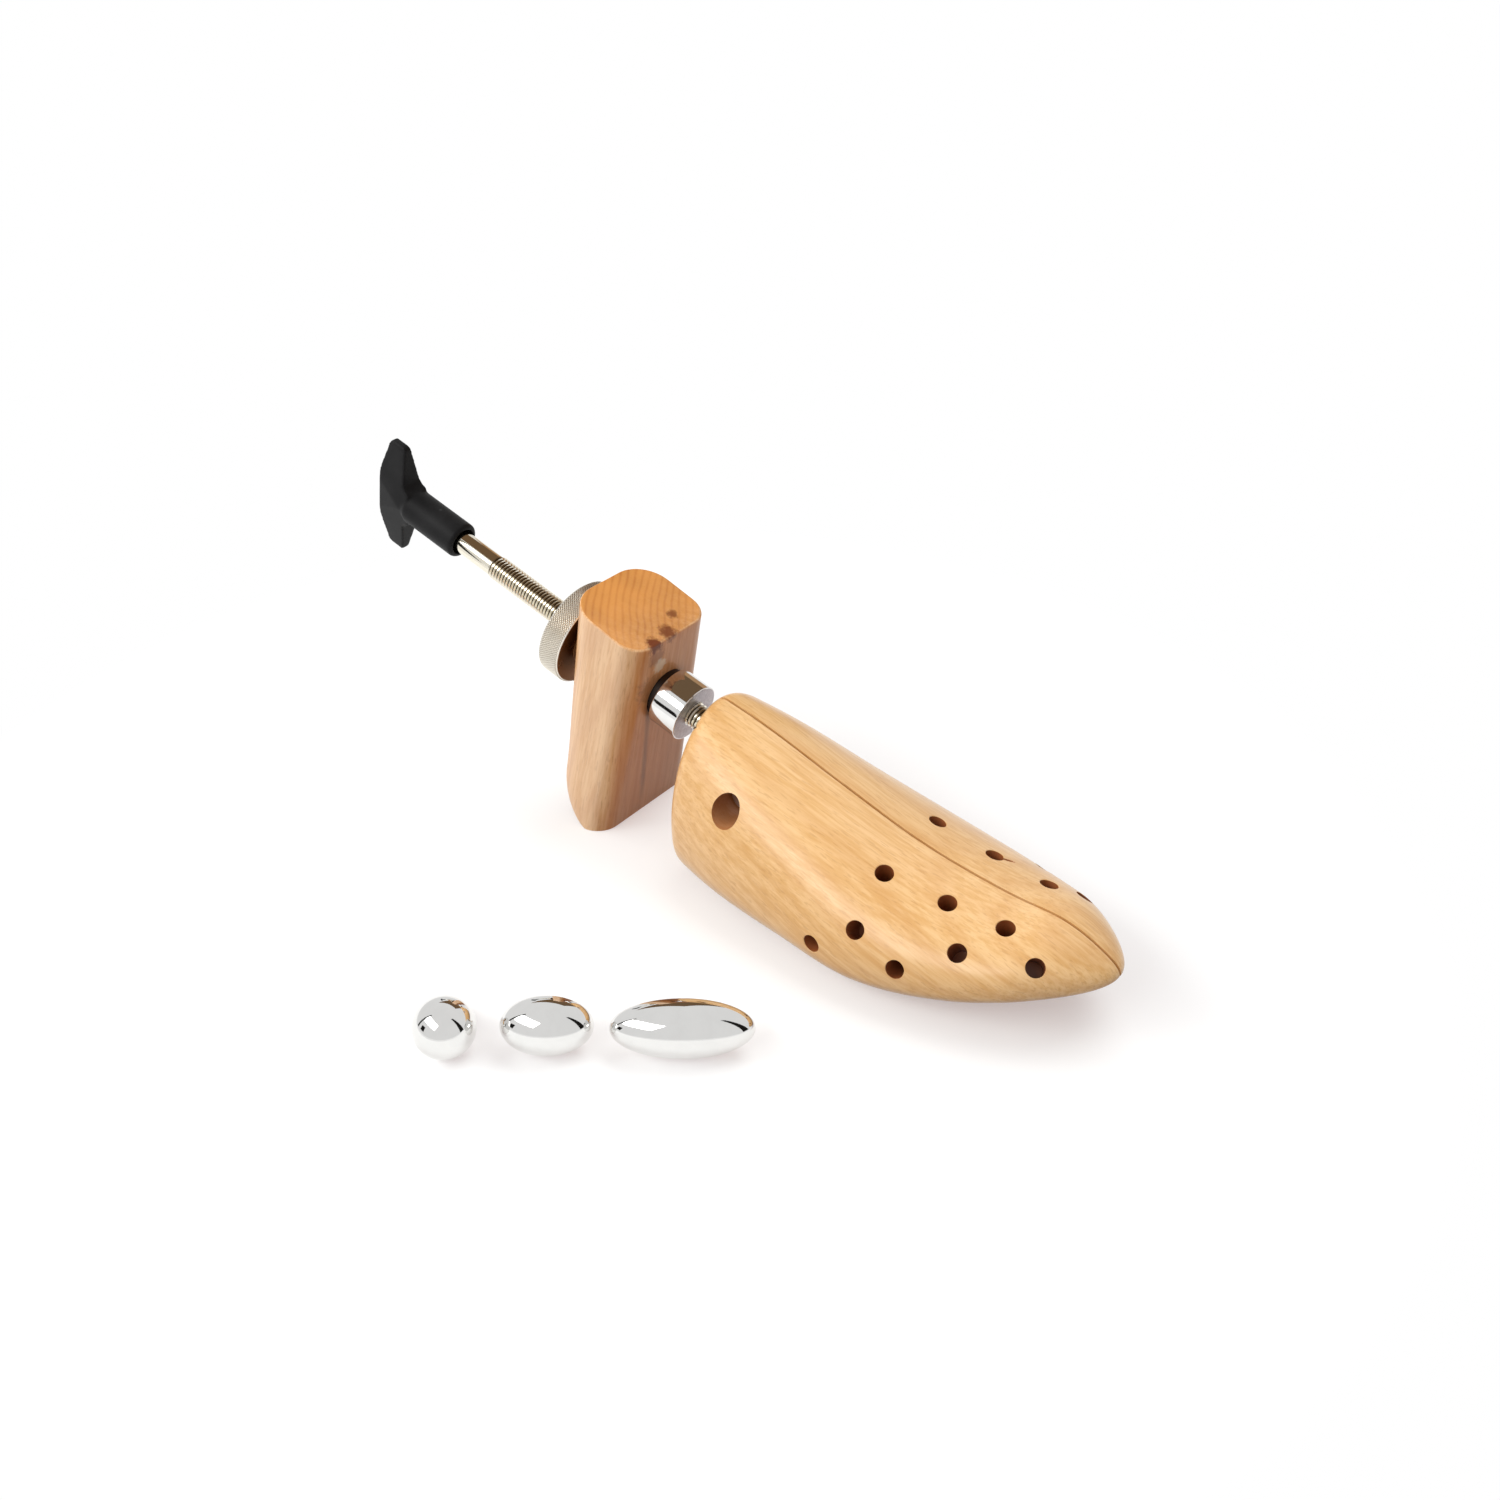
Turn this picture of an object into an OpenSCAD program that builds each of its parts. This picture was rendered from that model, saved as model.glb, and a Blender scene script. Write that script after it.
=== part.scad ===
// Two-way wooden shoe stretcher with a split last, a sliding heel block and three loose plugs.
// Millimetres. +X points to the toe, +Y to the left, +Z up.
// The origin is the middle of the heel block's flat foot, on the table.

/* [Spindle] */
// Tilt of the spindle, falling towards the toe, in degrees
rod_tilt = 16.2; // [13:0.1:19]
// Height of the spindle's axis above the table at the front face of the ferrule
rod_height = 55; // [52:0.5:60]
// Outside diameter of the long thread
thread_d = 10; // [8:0.5:11]
// Diameter of the plain shank beside the handle
shank_d = 9.1; // [7:0.1:9.5]
// Diameter of the journal and of the front thread
front_d = 8; // [6:0.5:9]
// Length of long thread behind the ferrule's front face
thread_back = 106.5; // [95:0.5:112]
// Depth of the shank in the handle
shank_socket = 24; // [12:1:30]
// Length of the front thread beyond the thrust collar
front_thread = 68; // [60:1:72]
// Depth of the chamfer on the spindle's tip
tip_chamfer = 1; // [0.3:0.1:2]

/* [Handle] */
// Distance from the ferrule's front face to the handle's open end
handle_back = 125.5; // [120:0.5:135]
// Diameter of the handle's barrel
barrel_d = 15; // [13:0.5:18]
// Length of the barrel up to the cross bar
barrel_len = 29.5; // [26:0.5:40]
// Thickness of the cross bar along the spindle
bar_depth = 16; // [13:0.5:20]
// Tip to tip length of the cross bar
bar_span = 52.6; // [44:0.2:60]
// Width of the cross bar where it meets the barrel
bar_root_w = 13; // [11:0.2:14]
// Width of the cross bar at its back
bar_back_w = 10.4; // [8:0.2:12]
// Width of the cross bar at its tips
bar_tip_w = 3.6; // [3:0.2:7]
// Depth of the cross bar at its tips
bar_tip_depth = 8.6; // [6:0.2:10]
// Rounding of the bar's tips and back edges
bar_round = 1.2; // [0.6:0.1:1.4]
// Turn of the cross bar from upright, in degrees
bar_turn = 3.7; // [-10:0.1:10]
// Diameter of the recess in the barrel's end
recess_d = 11.2; // [10.4:0.2:12]
// Depth of that recess
recess_depth = 3; // [1:0.5:6]

/* [Heel block] */
// Length of the flat foot, front to back
foot_len = 11.5; // [9:0.5:14]
// Lean of the block's front face towards the toe
block_lean = 12.2; // [10:0.1:15]
// Height of the block along its front face
block_h = 88; // [84:1:100]
// Front to back length at the top
block_top_len = 35.7; // [33:0.1:38]
// Front to back length just above the rounded heel
block_low_len = 30; // [26:0.1:32]
// Width at the top
block_top_w = 43; // [41:0.2:52]
// Width at the foot
block_foot_w = 53; // [46:0.2:60]
// Plan radius of the front corners
front_corner = 9; // [6:0.2:15]
// Plan radius of the rear corners at the top
rear_corner = 13.5; // [8:0.1:17]
// Plan radius of the rear corners at the foot
rear_corner_foot = 16; // [8:0.2:18]
// Rise of the top towards the back, in degrees
top_rise = 7.3; // [0:0.1:9]
// Width of the bevel round the top
top_bevel = 0.7; // [0.3:0.1:2]

/* [Wheel, sleeve and ferrule] */
// Diameter of the knurled wheel
wheel_d = 40.8; // [36:0.2:44]
// Thickness of the wheel's rim
wheel_w = 10; // [7:0.5:13]
// Distance from the ferrule's front face to the wheel's front face
wheel_back = 52.6; // [52.4:0.1:56]
// Diameter of the wheel's hub, which seats in the block
hub_d = 22; // [19:0.5:26]
// Depth of the seat cut into the back of the block at the spindle
seat_depth = 2.8; // [2:0.1:5]
// Outside diameter of the threaded sleeve
sleeve_d = 15; // [13:0.2:17]
// Diameter of the ferrule
ferrule_d = 23.6; // [20:0.2:26]
// Length of the ferrule
ferrule_len = 12.5; // [11:0.1:14]
// Thickness of the ferrule's front wall
ferrule_wall = 3.5; // [2:0.5:5]
// Distance along the spindle from the block's front face to the ferrule's front face
neck = 15; // [14.8:0.1:18]
// Diameter of the seat washer
washer_d = 19.6; // [17.5:0.1:22]
// Depth of the shallow seat for that washer
washer_seat = 0.8; // [0.6:0.1:1.5]

/* [Last] */
// Gap between the ferrule's front face and the last, level with the table
last_gap = 6.8; // [6.3:0.1:9]
// Length of the last
last_len = 173.5; // [165:0.5:190]
// Width of the saw kerf between the halves
kerf = 1.1; // [1:0.1:2]
// Wood cut away to give the sole its flat rest
sole_flat = 0.3; // [0.2:0.1:1.2]
// Share of the height at which the last is widest
widest_at = 0.34; // [0.25:0.01:0.45]
// Roundness of the section above the widest line
upper_power = 1.95; // [1.7:0.05:2.4]
// Roundness of the section below the widest line
lower_power = 3; // [2.4:0.05:3.6]
// Length over which the back is rounded off
back_round = 11.7; // [9:0.1:16]
// Fullness of the rounded back
back_power = 3.22; // [2.4:0.02:4]
// Length over which the toe closes
toe_round = 29; // [20:0.5:40]
// Fullness of the toe
toe_power = 2.05; // [1.8:0.05:2.6]

/* [Last outline: height of the crown] */
// At the back
crown_back = 69.6; // [67:0.1:76]
// At the heel end
crown_heel = 63.6; // [61:0.1:70]
// At the waist
crown_waist = 52.7; // [50:0.1:58]
// At the ball
crown_ball = 42.6; // [40:0.1:48]
// At the vamp
crown_vamp = 37.6; // [35:0.1:42]
// At the toe box
crown_box = 36.7; // [33:0.1:40]
// At the tip
crown_tip = 33.7; // [30:0.1:37]

/* [Last outline: half width] */
// At the back
half_back = 28.7; // [27:0.1:33]
// At the heel end
half_heel = 35.2; // [33:0.1:39]
// At the waist
half_waist = 39.6; // [37:0.1:44]
// At the ball
half_ball = 41.8; // [39:0.1:46]
// At the vamp
half_vamp = 35; // [32:0.1:39]
// At the toe box
half_box = 24.3; // [21:0.1:28]
// At the tip
half_tip = 17.5; // [14:0.1:21]

/* [Last outline: height of the sole] */
// At the back
sole_back = 2; // [0:0.1:4]
// At the heel end
sole_heel = 0.2; // [0:0.1:1]
// At the ball
sole_ball = 0.6; // [0:0.1:2]
// At the vamp
sole_vamp = 7.9; // [5:0.1:10]
// At the toe box
sole_box = 16; // [13:0.1:19]
// At the tip
sole_tip = 20; // [17:0.1:23]

/* [Plug holes] */
// Diameter of the plug holes
hole_d = 6.6; // [6.4:0.1:7.4]
// Depth of the plug holes
hole_depth = 13; // [9:0.5:14]
// Diameter of the large side hole
side_hole_d = 11.5; // [10.5:0.1:13]

/* [Hinge and expander] */
// Distance from the ferrule's front face to the hinge pins, along the spindle
pin_at = 13.6; // [13.4:0.1:15]
// Distance of each hinge pin from the spindle's axis
pin_off = 8.6; // [8.4:0.1:9.4]
// Diameter of the hinge pins
pin_d = 5; // [4:0.1:5.2]
// Length of the yoke along the spindle
yoke_len = 10; // [9.6:0.1:11]
// Height of the yoke and of the expander nut
yoke_h = 13; // [12.6:0.1:14]
// Thickness of the hinge ears, leaves and cam plates
plate_t = 2.5; // [2:0.1:2.8]
// Outside diameter of the thrust collar
collar_d = 15; // [13:0.1:16]
// Length of the thrust collar
collar_len = 5; // [4:0.1:6]
// Length of the hinge leaf's web
leaf_len = 37; // [32:0.5:38]
// Distance from the ferrule's front face to the leaf bolts, along the spindle
bolt_at = 40.2; // [36:0.1:44]
// Diameter of the leaf bolts
bolt_d = 6; // [5:0.1:7]
// Length of the expander nut
nut_len = 12; // [10:0.5:14]
// Width of the expander nut
nut_w = 16; // [14:0.5:17]
// Distance from the ferrule's front face to the expander pegs in the closed last
peg_at = 78; // [76:0.5:80]
// Diameter of the expander pegs
peg_d = 5; // [4:0.1:5.5]
// Travel of the expander
travel = 12.5; // [8:0.5:12.5]
// Swing of each half over that travel, in degrees
swing = 3.5; // [2:0.1:3.5]

/* [Loose plugs] */
// Width of the ball plug
ball_d = 21.1; // [18:0.1:24]
// Height of the two oval plugs
oval_h = 20.2; // [18:0.1:23]
// Length of the oval plug
oval_len = 31; // [26:0.5:36]
// Length of the long oval plug
long_len = 48; // [42:0.5:54]
// Depth of an oval plug in front of its widest section
dome_front = 10; // [8:0.5:12]
// Depth of an oval plug behind its widest section, before the flat is cut
dome_back = 6; // [5:0.5:8]
// Diameter of the pegs
plug_peg_d = 6; // [5:0.1:6.2]
// Length of peg that stands out
plug_peg_len = 12; // [8:0.5:13]
// Direction in which the plugs face, turned from +X, in degrees
plug_facing = -52; // [-60:1:-45]

/* [Hidden] */
running = 0.05;      // radial clearance of what turns or slides
gap = 0.1;           // end clearance of what turns
loose = 0.3;         // clearance of parts that only pass each other
fine = 96;
big = 400;
wood = [0.86, 0.66, 0.43];
steel = [0.72, 0.71, 0.69];
chrome = [0.82, 0.81, 0.8];
nickel = [0.78, 0.75, 0.66];
black = [0.06, 0.06, 0.07];

// The ferrule's front face lies where the leaning block and the spindle put it.
foot_x = foot_len / 2;
neck_z = rod_height + neck * sin(rod_tilt);
ferrule_x = foot_x + tan(block_lean) * neck_z + neck * cos(rod_tilt);
last_x = ferrule_x + last_gap;

// The foot is level while the block leans, so its back starts below the leaning base.
heel_round = block_low_len - foot_len * cos(block_lean);
block_below = -foot_len * sin(block_lean);

yoke_back = pin_at - yoke_len / 2;
yoke_front = pin_at + yoke_len / 2;
yoke_half_w = pin_off + pin_d / 2 + 1.6;
ear_in = yoke_h / 2 + 0.2;
ear_out = ear_in + plate_t;
pocket_h = ear_out + 0.5;
leaf_in = yoke_half_w - 1.4;
leaf_out = leaf_in + plate_t + 0.2;
collar_at = yoke_front + gap;
journal_front = collar_at + collar_len;
spindle_front = journal_front + front_thread;
cavity_front = spindle_front + 3;
leaf_front = yoke_front + 1.4 + leaf_len;
plate_back = peg_at - travel - peg_d / 2 - 5;
plate_front = peg_at + peg_d / 2 + 5;
plate_out = nut_w / 2 + 7.5;
plate_in = nut_w / 2 + 0.5;
bolt_head_d = bolt_d + 3.5;
bolt_head_h = 3;
bolt_shelf = 2.5;
sleeve_back = wheel_back + wheel_w - ferrule_wall;
sleeve_front = ferrule_wall;
handle_end = handle_back + barrel_len;
pin_hole_d = 2;

// Flats cut behind the plugs' domes, how far the pegs reach in, and where the plugs lie.
seat_ball = ball_d * 0.36;
seat_oval = dome_back * 0.75;
plug_sink = 4;
ball_at = [45.1, -143.6];
oval_at = [70, -121.5];
long_at = [105.9, -95.1];

// Stations along the last, as shares of its length.
stations = [0, 0.15, 0.35, 0.55, 0.75, 0.9, 1];
crowns = [crown_back, crown_heel, crown_waist, crown_ball, crown_vamp, crown_box, crown_tip];
soles = [sole_back, sole_heel, 0, sole_ball, sole_vamp, sole_box, sole_tip];
halves = [half_back, half_heel, half_waist, half_ball, half_vamp, half_box, half_tip];

// Plug holes: distance from the back of the last, and angle round its section from the crown.
right_holes = [[93, 28], [116.5, 25.5], [137.6, 26.5], [152.6, 54.5],
               [128.3, 53.5], [111.3, 78.5], [93.9, 63.5], [78.9, 90]];
left_holes = [[92.6, 22], [115.9, 24.5], [137.6, 29.5], [148.5, 53],
              [128.3, 58], [111.3, 78.5], [93.9, 63.5], [78.9, 90]];

// Smooth curve through values v at stations p, with three-point slopes.
function slope_at(p, v, i) =
    i == 0 ? (v[1] - v[0]) / (p[1] - p[0])
    : i == len(p) - 1 ? (v[i] - v[i - 1]) / (p[i] - p[i - 1])
    : let (h0 = p[i] - p[i - 1], h1 = p[i + 1] - p[i])
      ((v[i] - v[i - 1]) / h0 * h1 + (v[i + 1] - v[i]) / h1 * h0) / (h0 + h1);
function span_of(p, x, i = 0) = i >= len(p) - 2 || x <= p[i + 1] ? i : span_of(p, x, i + 1);
function curve(p, v, x) =
    let (i = span_of(p, x), h = p[i + 1] - p[i], u = (x - p[i]) / h,
         m0 = slope_at(p, v, i) * h, m1 = slope_at(p, v, i + 1) * h)
    v[i] * (1 + 2 * u) * (1 - u) ^ 2 + m0 * u * (1 - u) ^ 2
    + v[i + 1] * u ^ 2 * (3 - 2 * u) + m1 * u ^ 2 * (u - 1);

// Fraction of the full section left where the last closes at its back and toe.
function closing(from_end, length, power) =
    (1 - max(0, 1 - from_end / length) ^ power) ^ (1 / power);
function end_cap(p) =
    closing(p * last_len, back_round, back_power)
    * closing((1 - p) * last_len, toe_round, toe_power);

// A point on the left side of the last: p along it, a round it from the crown, in degrees.
function last_point(p, a) =
    let (top = curve(stations, crowns, p), low = curve(stations, soles, p) - sole_flat,
         mid = low + widest_at * (top - low), cap = end_cap(p),
         power = a < 90 ? upper_power : lower_power, rise = a < 90 ? top - mid : low - mid)
    [last_x + p * last_len,
     cap * curve(stations, halves, p) * abs(sin(a)) ^ (2 / power),
     mid + cap * rise * abs(cos(a)) ^ (2 / power)];
function unit(v) = v / norm(v);
function last_normal(p, a) =
    unit(cross(last_point(p, a + 1) - last_point(p, a - 1),
               last_point(p + 0.005, a) - last_point(p - 0.005, a))) * -1;

// A place in the spindle's frame: x along it from the ferrule, y across, z square to both.
module on_rod() {
    translate([ferrule_x, 0, rod_height]) rotate([0, rod_tilt, 0]) children();
}
module rod_round(from, to, d) {
    on_rod() translate([from, 0, 0]) rotate([0, 90, 0]) cylinder(d = d, h = to - from, $fn = fine);
}
module rod_box(from, to, y0, y1, z0, z1) {
    on_rod() translate([from, y0, z0]) cube([to - from, y1 - y0, z1 - z0]);
}
module rod_upright(x, y, z0, z1, d) {
    on_rod() translate([x, y, z0]) cylinder(d = d, h = z1 - z0, $fn = fine);
}

// Left half of the last as one loft, still whole at the kerf and the sole.
module half_shell() {
    rows = 52;
    cols = 26;
    n = cols + 1;
    body = [for (i = [1:rows - 1], j = [0:cols])
            last_point((1 - cos(180 * i / rows)) / 2, 180 * j / cols)];
    points = concat([last_point(0, 0)], body, [last_point(1, 0)]);
    tip = len(points) - 1;
    end = tip - n;
    faces = concat(
        [for (i = [0:rows - 3], j = [0:cols - 1]) let (k = 1 + i * n + j)
         each [[k, k + 1, k + n], [k + 1, k + n + 1, k + n]]],
        [for (i = [0:rows - 3]) let (k = 1 + i * n)
         each [[k, k + n, k + cols], [k + cols, k + n, k + n + cols]]],
        [for (j = [0:cols - 1]) each [[0, 2 + j, 1 + j], [tip, end + j, end + j + 1]]],
        [[0, 1, n], [tip, tip - 1, end]]);
    polyhedron(points, faces);
}

module drill(p, a, d, depth) {
    at = last_point(p, a);
    n = last_normal(p, a);
    translate(at - n * depth)
        rotate([0, acos(n.z), atan2(n.y, n.x)])
            cylinder(d = d, h = depth + 8, $fn = fine);
}

// Pocket for the yoke, the leaf and the expander, stepped along the spindle.
module mechanism_pocket() {
    yoke_y = leaf_out + 0.4;
    nut_y = leaf_in - loose;
    leaf_end = leaf_front + loose;
    on_rod() translate([0, 0, -pocket_h]) linear_extrude(2 * pocket_h)
        polygon([[-30, -2], [cavity_front, -2], [cavity_front, nut_y], [leaf_end, nut_y],
                 [leaf_end, leaf_out], [journal_front, leaf_out], [journal_front, yoke_y],
                 [-30, yoke_y]]);
}

// One half of the last, built on the left; plate_side is 1 where its cam plate is above.
module last_half(holes, plate_side) {
    z0 = plate_side > 0 ? ear_in - running : -ear_out - running;
    z1 = plate_side > 0 ? ear_out + running : -ear_in + running;
    difference() {
        half_shell();
        translate([0, kerf / 2 - big, -big / 2]) cube([big, big, big]);
        translate([0, -big / 2, -big]) cube([big, big, big]);
        mechanism_pocket();
        rod_box(plate_back - gap, plate_front + gap, 0, plate_out + gap, z0, z1);
        on_rod() translate([bolt_at, leaf_out - 1, 0]) rotate([-90, 0, 0]) {
            cylinder(d = bolt_d + 2 * running, h = big / 8, $fn = fine);
            translate([0, 0, 1 + bolt_shelf]) cylinder(d = side_hole_d, h = big / 8, $fn = fine);
        }
        for (h = holes) drill(h[0] / last_len, h[1], hole_d, hole_depth);
    }
}
module last_half_left() {
    color(wood) last_half(left_holes, 1);
}
module last_half_right() {
    color(wood) mirror([0, 1, 0]) last_half(right_holes, -1);
}

// Yoke that carries the spindle's journal between the two hinge pins.
module hinge_yoke() {
    color(steel) difference() {
        rod_box(yoke_back, yoke_front, -yoke_half_w, yoke_half_w, -yoke_h / 2, yoke_h / 2);
        rod_round(yoke_back - 1, yoke_front + 1, front_d + 2 * running);
        for (s = [-1, 1]) rod_upright(pin_at, s * pin_off, -yoke_h, yoke_h, pin_d);
    }
}
module hinge_pin(side) {
    color(steel) rod_upright(pin_at, side * pin_off, -ear_out, ear_out, pin_d);
}
module hinge_pin_left() {
    hinge_pin(1);
}
module hinge_pin_right() {
    hinge_pin(-1);
}

// Leaf with two ears round its pin and a web let into the wood.
module hinge_leaf(side) {
    ear_d = pin_d + 3.8;
    web_back = yoke_front + 1.4;
    color(steel) mirror([0, side > 0 ? 0 : 1, 0]) difference() {
        union() {
            rod_box(web_back, leaf_front, leaf_in, leaf_out, -ear_out, ear_out);
            for (s = [-1, 1]) {
                z0 = s > 0 ? ear_in : -ear_out;
                rod_upright(pin_at, pin_off, z0, z0 + plate_t, ear_d);
                rod_box(pin_at, web_back + 1, pin_off + 1, leaf_out, z0, z0 + plate_t);
            }
        }
        rod_upright(pin_at, pin_off, -big / 8, big / 8, pin_d + 2 * running);
        on_rod() translate([bolt_at, 0, 0]) rotate([-90, 0, 0])
            cylinder(d = bolt_d, h = big / 8, $fn = fine);
    }
}
module hinge_leaf_left() {
    hinge_leaf(1);
}
module hinge_leaf_right() {
    hinge_leaf(-1);
}

// Low-headed bolt through the wood into the leaf.
module leaf_bolt(side) {
    color(steel) mirror([0, side > 0 ? 0 : 1, 0])
        on_rod() translate([bolt_at, leaf_in, 0]) rotate([-90, 0, 0]) {
            cylinder(d = bolt_d, h = leaf_out + bolt_shelf - leaf_in, $fn = fine);
            translate([0, 0, leaf_out + bolt_shelf - leaf_in])
                cylinder(d = bolt_head_d, h = bolt_head_h, $fn = fine);
        }
}
module leaf_bolt_left() {
    leaf_bolt(1);
}
module leaf_bolt_right() {
    leaf_bolt(-1);
}

// Where a peg on the spindle's line lies in the half's frame after travel s.
function slot_at(s) =
    let (turn = swing * s / travel, u = peg_at - s - pin_at, v = -pin_off)
    [pin_at + u * cos(turn) + v * sin(turn), pin_off - u * sin(turn) + v * cos(turn)];
module cam_slot() {
    slot_d = peg_d + loose;
    steps = 6;
    for (i = [0:steps]) {
        a = slot_at(travel * i / steps);
        translate(a) cylinder(d = slot_d, h = big / 8, center = true, $fn = fine);
        if (i < steps) {
            b = slot_at(travel * (i + 1) / steps);
            translate(a) rotate(atan2(b.y - a.y, b.x - a.x))
                translate([0, -slot_d / 2, -big / 16]) cube([norm(b - a), slot_d, big / 8]);
        }
    }
}
// Cam plate; built for the left half, above the nut or below it.
module cam_plate(above) {
    z0 = above > 0 ? ear_in : -ear_out;
    difference() {
        rod_box(plate_back, plate_front, -plate_in, plate_out, z0, z0 + plate_t);
        on_rod() cam_slot();
    }
}
module cam_plate_left() {
    color(steel) cam_plate(1);
}
module cam_plate_right() {
    color(steel) mirror([0, 1, 0]) cam_plate(-1);
}

// Nut on the front thread; its pegs reach up and down into the two slots.
module expander() {
    color(steel) difference() {
        rod_box(peg_at - nut_len / 2, peg_at + nut_len / 2, -nut_w / 2, nut_w / 2,
                -yoke_h / 2, yoke_h / 2);
        rod_round(peg_at - nut_len, peg_at + nut_len, front_d + 2 * running);
        for (s = [-1, 1]) peg_solid(s);
    }
}
module peg_solid(side) {
    root = front_d / 2 + 0.6;
    z0 = side > 0 ? root : -ear_out;
    rod_upright(peg_at, 0, z0, z0 + ear_out - root, peg_d);
}
module expander_peg_top() {
    color(steel) peg_solid(1);
}
module expander_peg_bottom() {
    color(steel) peg_solid(-1);
}

// One turned bar: shank, long thread, journal and front thread.
module spindle() {
    back = -handle_back - shank_socket;
    outline = [[0, back], [shank_d / 2, back], [shank_d / 2, -thread_back],
               [thread_d / 2, -thread_back + (thread_d - shank_d) / 2],
               [thread_d / 2, yoke_back - gap], [front_d / 2, yoke_back - gap],
               [front_d / 2, spindle_front - tip_chamfer],
               [front_d / 2 - tip_chamfer, spindle_front], [0, spindle_front]];
    color(nickel) difference() {
        on_rod() rotate([0, 90, 0]) rotate_extrude($fn = fine) polygon(outline);
        cross_hole(0);
    }
}
module cross_hole(clear) {
    on_rod() translate([collar_at + collar_len / 2, 0, 0]) rotate([90, 0, 0])
        cylinder(d = pin_hole_d + clear, h = collar_d, center = true, $fn = fine);
}
module thrust_collar() {
    color(steel) difference() {
        rod_round(collar_at, collar_at + collar_len, collar_d);
        rod_round(collar_at - 1, collar_at + collar_len + 1, front_d);
        cross_hole(0);
    }
}
module collar_pin() {
    color(steel) intersection() {
        cross_hole(0);
        rod_round(collar_at - 1, collar_at + collar_len + 1, collar_d - 0.4);
    }
}

// T-handle: a barrel and a cross bar that thins towards its tips and its back.
module bar_side() {
    h = bar_span / 2;
    r = barrel_d / 2;
    front = -handle_end;
    back = front - bar_depth;
    tip = back + (bar_depth - bar_tip_depth) * 0.45;
    low = [[front + 2, r * 0.97], [front - 0.2, r + 1.2], [front - 1.6, r + 3],
           [tip + bar_tip_depth, h - bar_round], [tip + bar_tip_depth - bar_round, h],
           [tip + bar_round, h], [tip, h - bar_round], [back + 0.6, h * 0.5], [back, h * 0.15]];
    polygon(concat(low, [for (i = [len(low) - 1:-1:0]) [low[i].x, -low[i].y]]));
}
module bar_front() {
    h = bar_span / 2;
    right = [[bar_root_w / 2, 0], [bar_tip_w / 2, h - bar_round], [bar_tip_w / 2 - 0.6, h]];
    upper = concat(right, [for (i = [len(right) - 1:-1:0]) [-right[i].x, right[i].y]]);
    polygon(upper);
    mirror([0, 1]) polygon(upper);
}
module bar_plan() {
    front = -handle_end + 3;
    back = -handle_end - bar_depth;
    right = [[front, bar_root_w / 2 + 0.5], [back + bar_round, bar_back_w / 2],
             [back, bar_back_w / 2 - bar_round]];
    polygon(concat(right, [for (i = [len(right) - 1:-1:0]) [right[i].x, -right[i].y]]));
}
module cross_bar() {
    on_rod() rotate([bar_turn, 0, 0]) intersection() {
        rotate([90, 0, 0]) linear_extrude(barrel_d + 2, center = true) bar_side();
        rotate([90, 0, 90]) translate([0, 0, -handle_end - bar_depth - 1])
            linear_extrude(bar_depth + 12) bar_front();
        linear_extrude(bar_span + 2, center = true) bar_plan();
    }
}
module t_handle() {
    back = -handle_back;
    r = barrel_d / 2;
    color(black) difference() {
        union() {
            on_rod() rotate([0, 90, 0]) rotate_extrude($fn = fine)
                polygon([[0, -handle_end - 6], [r - 1.5, -handle_end - 2], [r, -handle_end + 1.5],
                         [r, back - 1], [r - 1, back], [0, back]]);
            cross_bar();
        }
        rod_round(back - shank_socket, back + 1, shank_d);
        rod_round(back - recess_depth, back + 1, recess_d);
    }
}

// Heel block: rounded rectangles stacked along the leaning front face.
function block_len(h) =
    let (up = h - block_below, r = heel_round)
    up < r ? block_low_len - r + sqrt(r ^ 2 - (r - up) ^ 2)
    : block_low_len + (block_top_len - block_low_len) * (up - r) / (block_h - block_below - r);
function block_half(h) = (block_foot_w + (block_top_w - block_foot_w) * h / block_h) / 2;
function corner(cx, cy, r, from, n) =
    [for (i = [0:n]) [cx + r * cos(from + 90 * i / n), cy + r * sin(from + 90 * i / n)]];
function block_ring(h, inset) =
    let (l = block_len(h) - 2 * inset, w = block_half(h) - inset, n = 9,
         most = min(w, l / 2) - 0.01, rf = min(front_corner, most),
         rear = rear_corner_foot + (rear_corner - rear_corner_foot) * h / block_h,
         rr = min(rear, most))
    [for (q = concat(corner(-rf, w - rf, rf, 0, n), corner(-l + rr, w - rr, rr, 90, n),
                     corner(-l + rr, -w + rr, rr, 180, n), corner(-rf, -w + rf, rf, 270, n)))
     let (x = q.x - inset, lift = h * (1 - x * tan(top_rise) / block_h))
     [x * cos(block_lean) + lift * sin(block_lean), q.y,
      -x * sin(block_lean) + lift * cos(block_lean)]];
module heel_block() {
    shoulder = block_below + heel_round;
    levels = concat([for (i = [0:8]) shoulder - heel_round * cos(90 * i / 8)],
                    [for (i = [1:4]) shoulder + (block_h - top_bevel - shoulder) * i / 4]);
    rings = concat([for (h = levels) block_ring(h, 0)], [block_ring(block_h, top_bevel)]);
    n = len(rings[0]);
    m = len(rings);
    faces = concat(
        [for (i = [0:m - 2], j = [0:n - 1]) let (k = (j + 1) % n)
         each [[i * n + j, (i + 1) * n + j, i * n + k],
               [i * n + k, (i + 1) * n + j, (i + 1) * n + k]]],
        [[for (j = [0:n - 1]) j]], [[for (j = [n - 1:-1:0]) (m - 1) * n + j]]);
    seat = seat_front();
    color(wood) difference() {
        translate([foot_x, 0, 0])
            polyhedron([for (r = rings) each r], faces);
        translate([-big / 2, -big / 2, -big]) cube(big);
        rod_round(-wheel_back - wheel_w, 0, sleeve_d + 2 * running);
        rod_round(-wheel_back - wheel_w, seat, hub_d + 2 * loose);
        rod_round(-neck - washer_seat, 0, washer_d + 2 * loose);
    }
}
// Front of the hub's seat: the block's back face at the spindle, less the seat's depth.
function seat_front() =
    let (h = neck_z / cos(block_lean)) -neck - block_len(h) + seat_depth;

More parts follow.
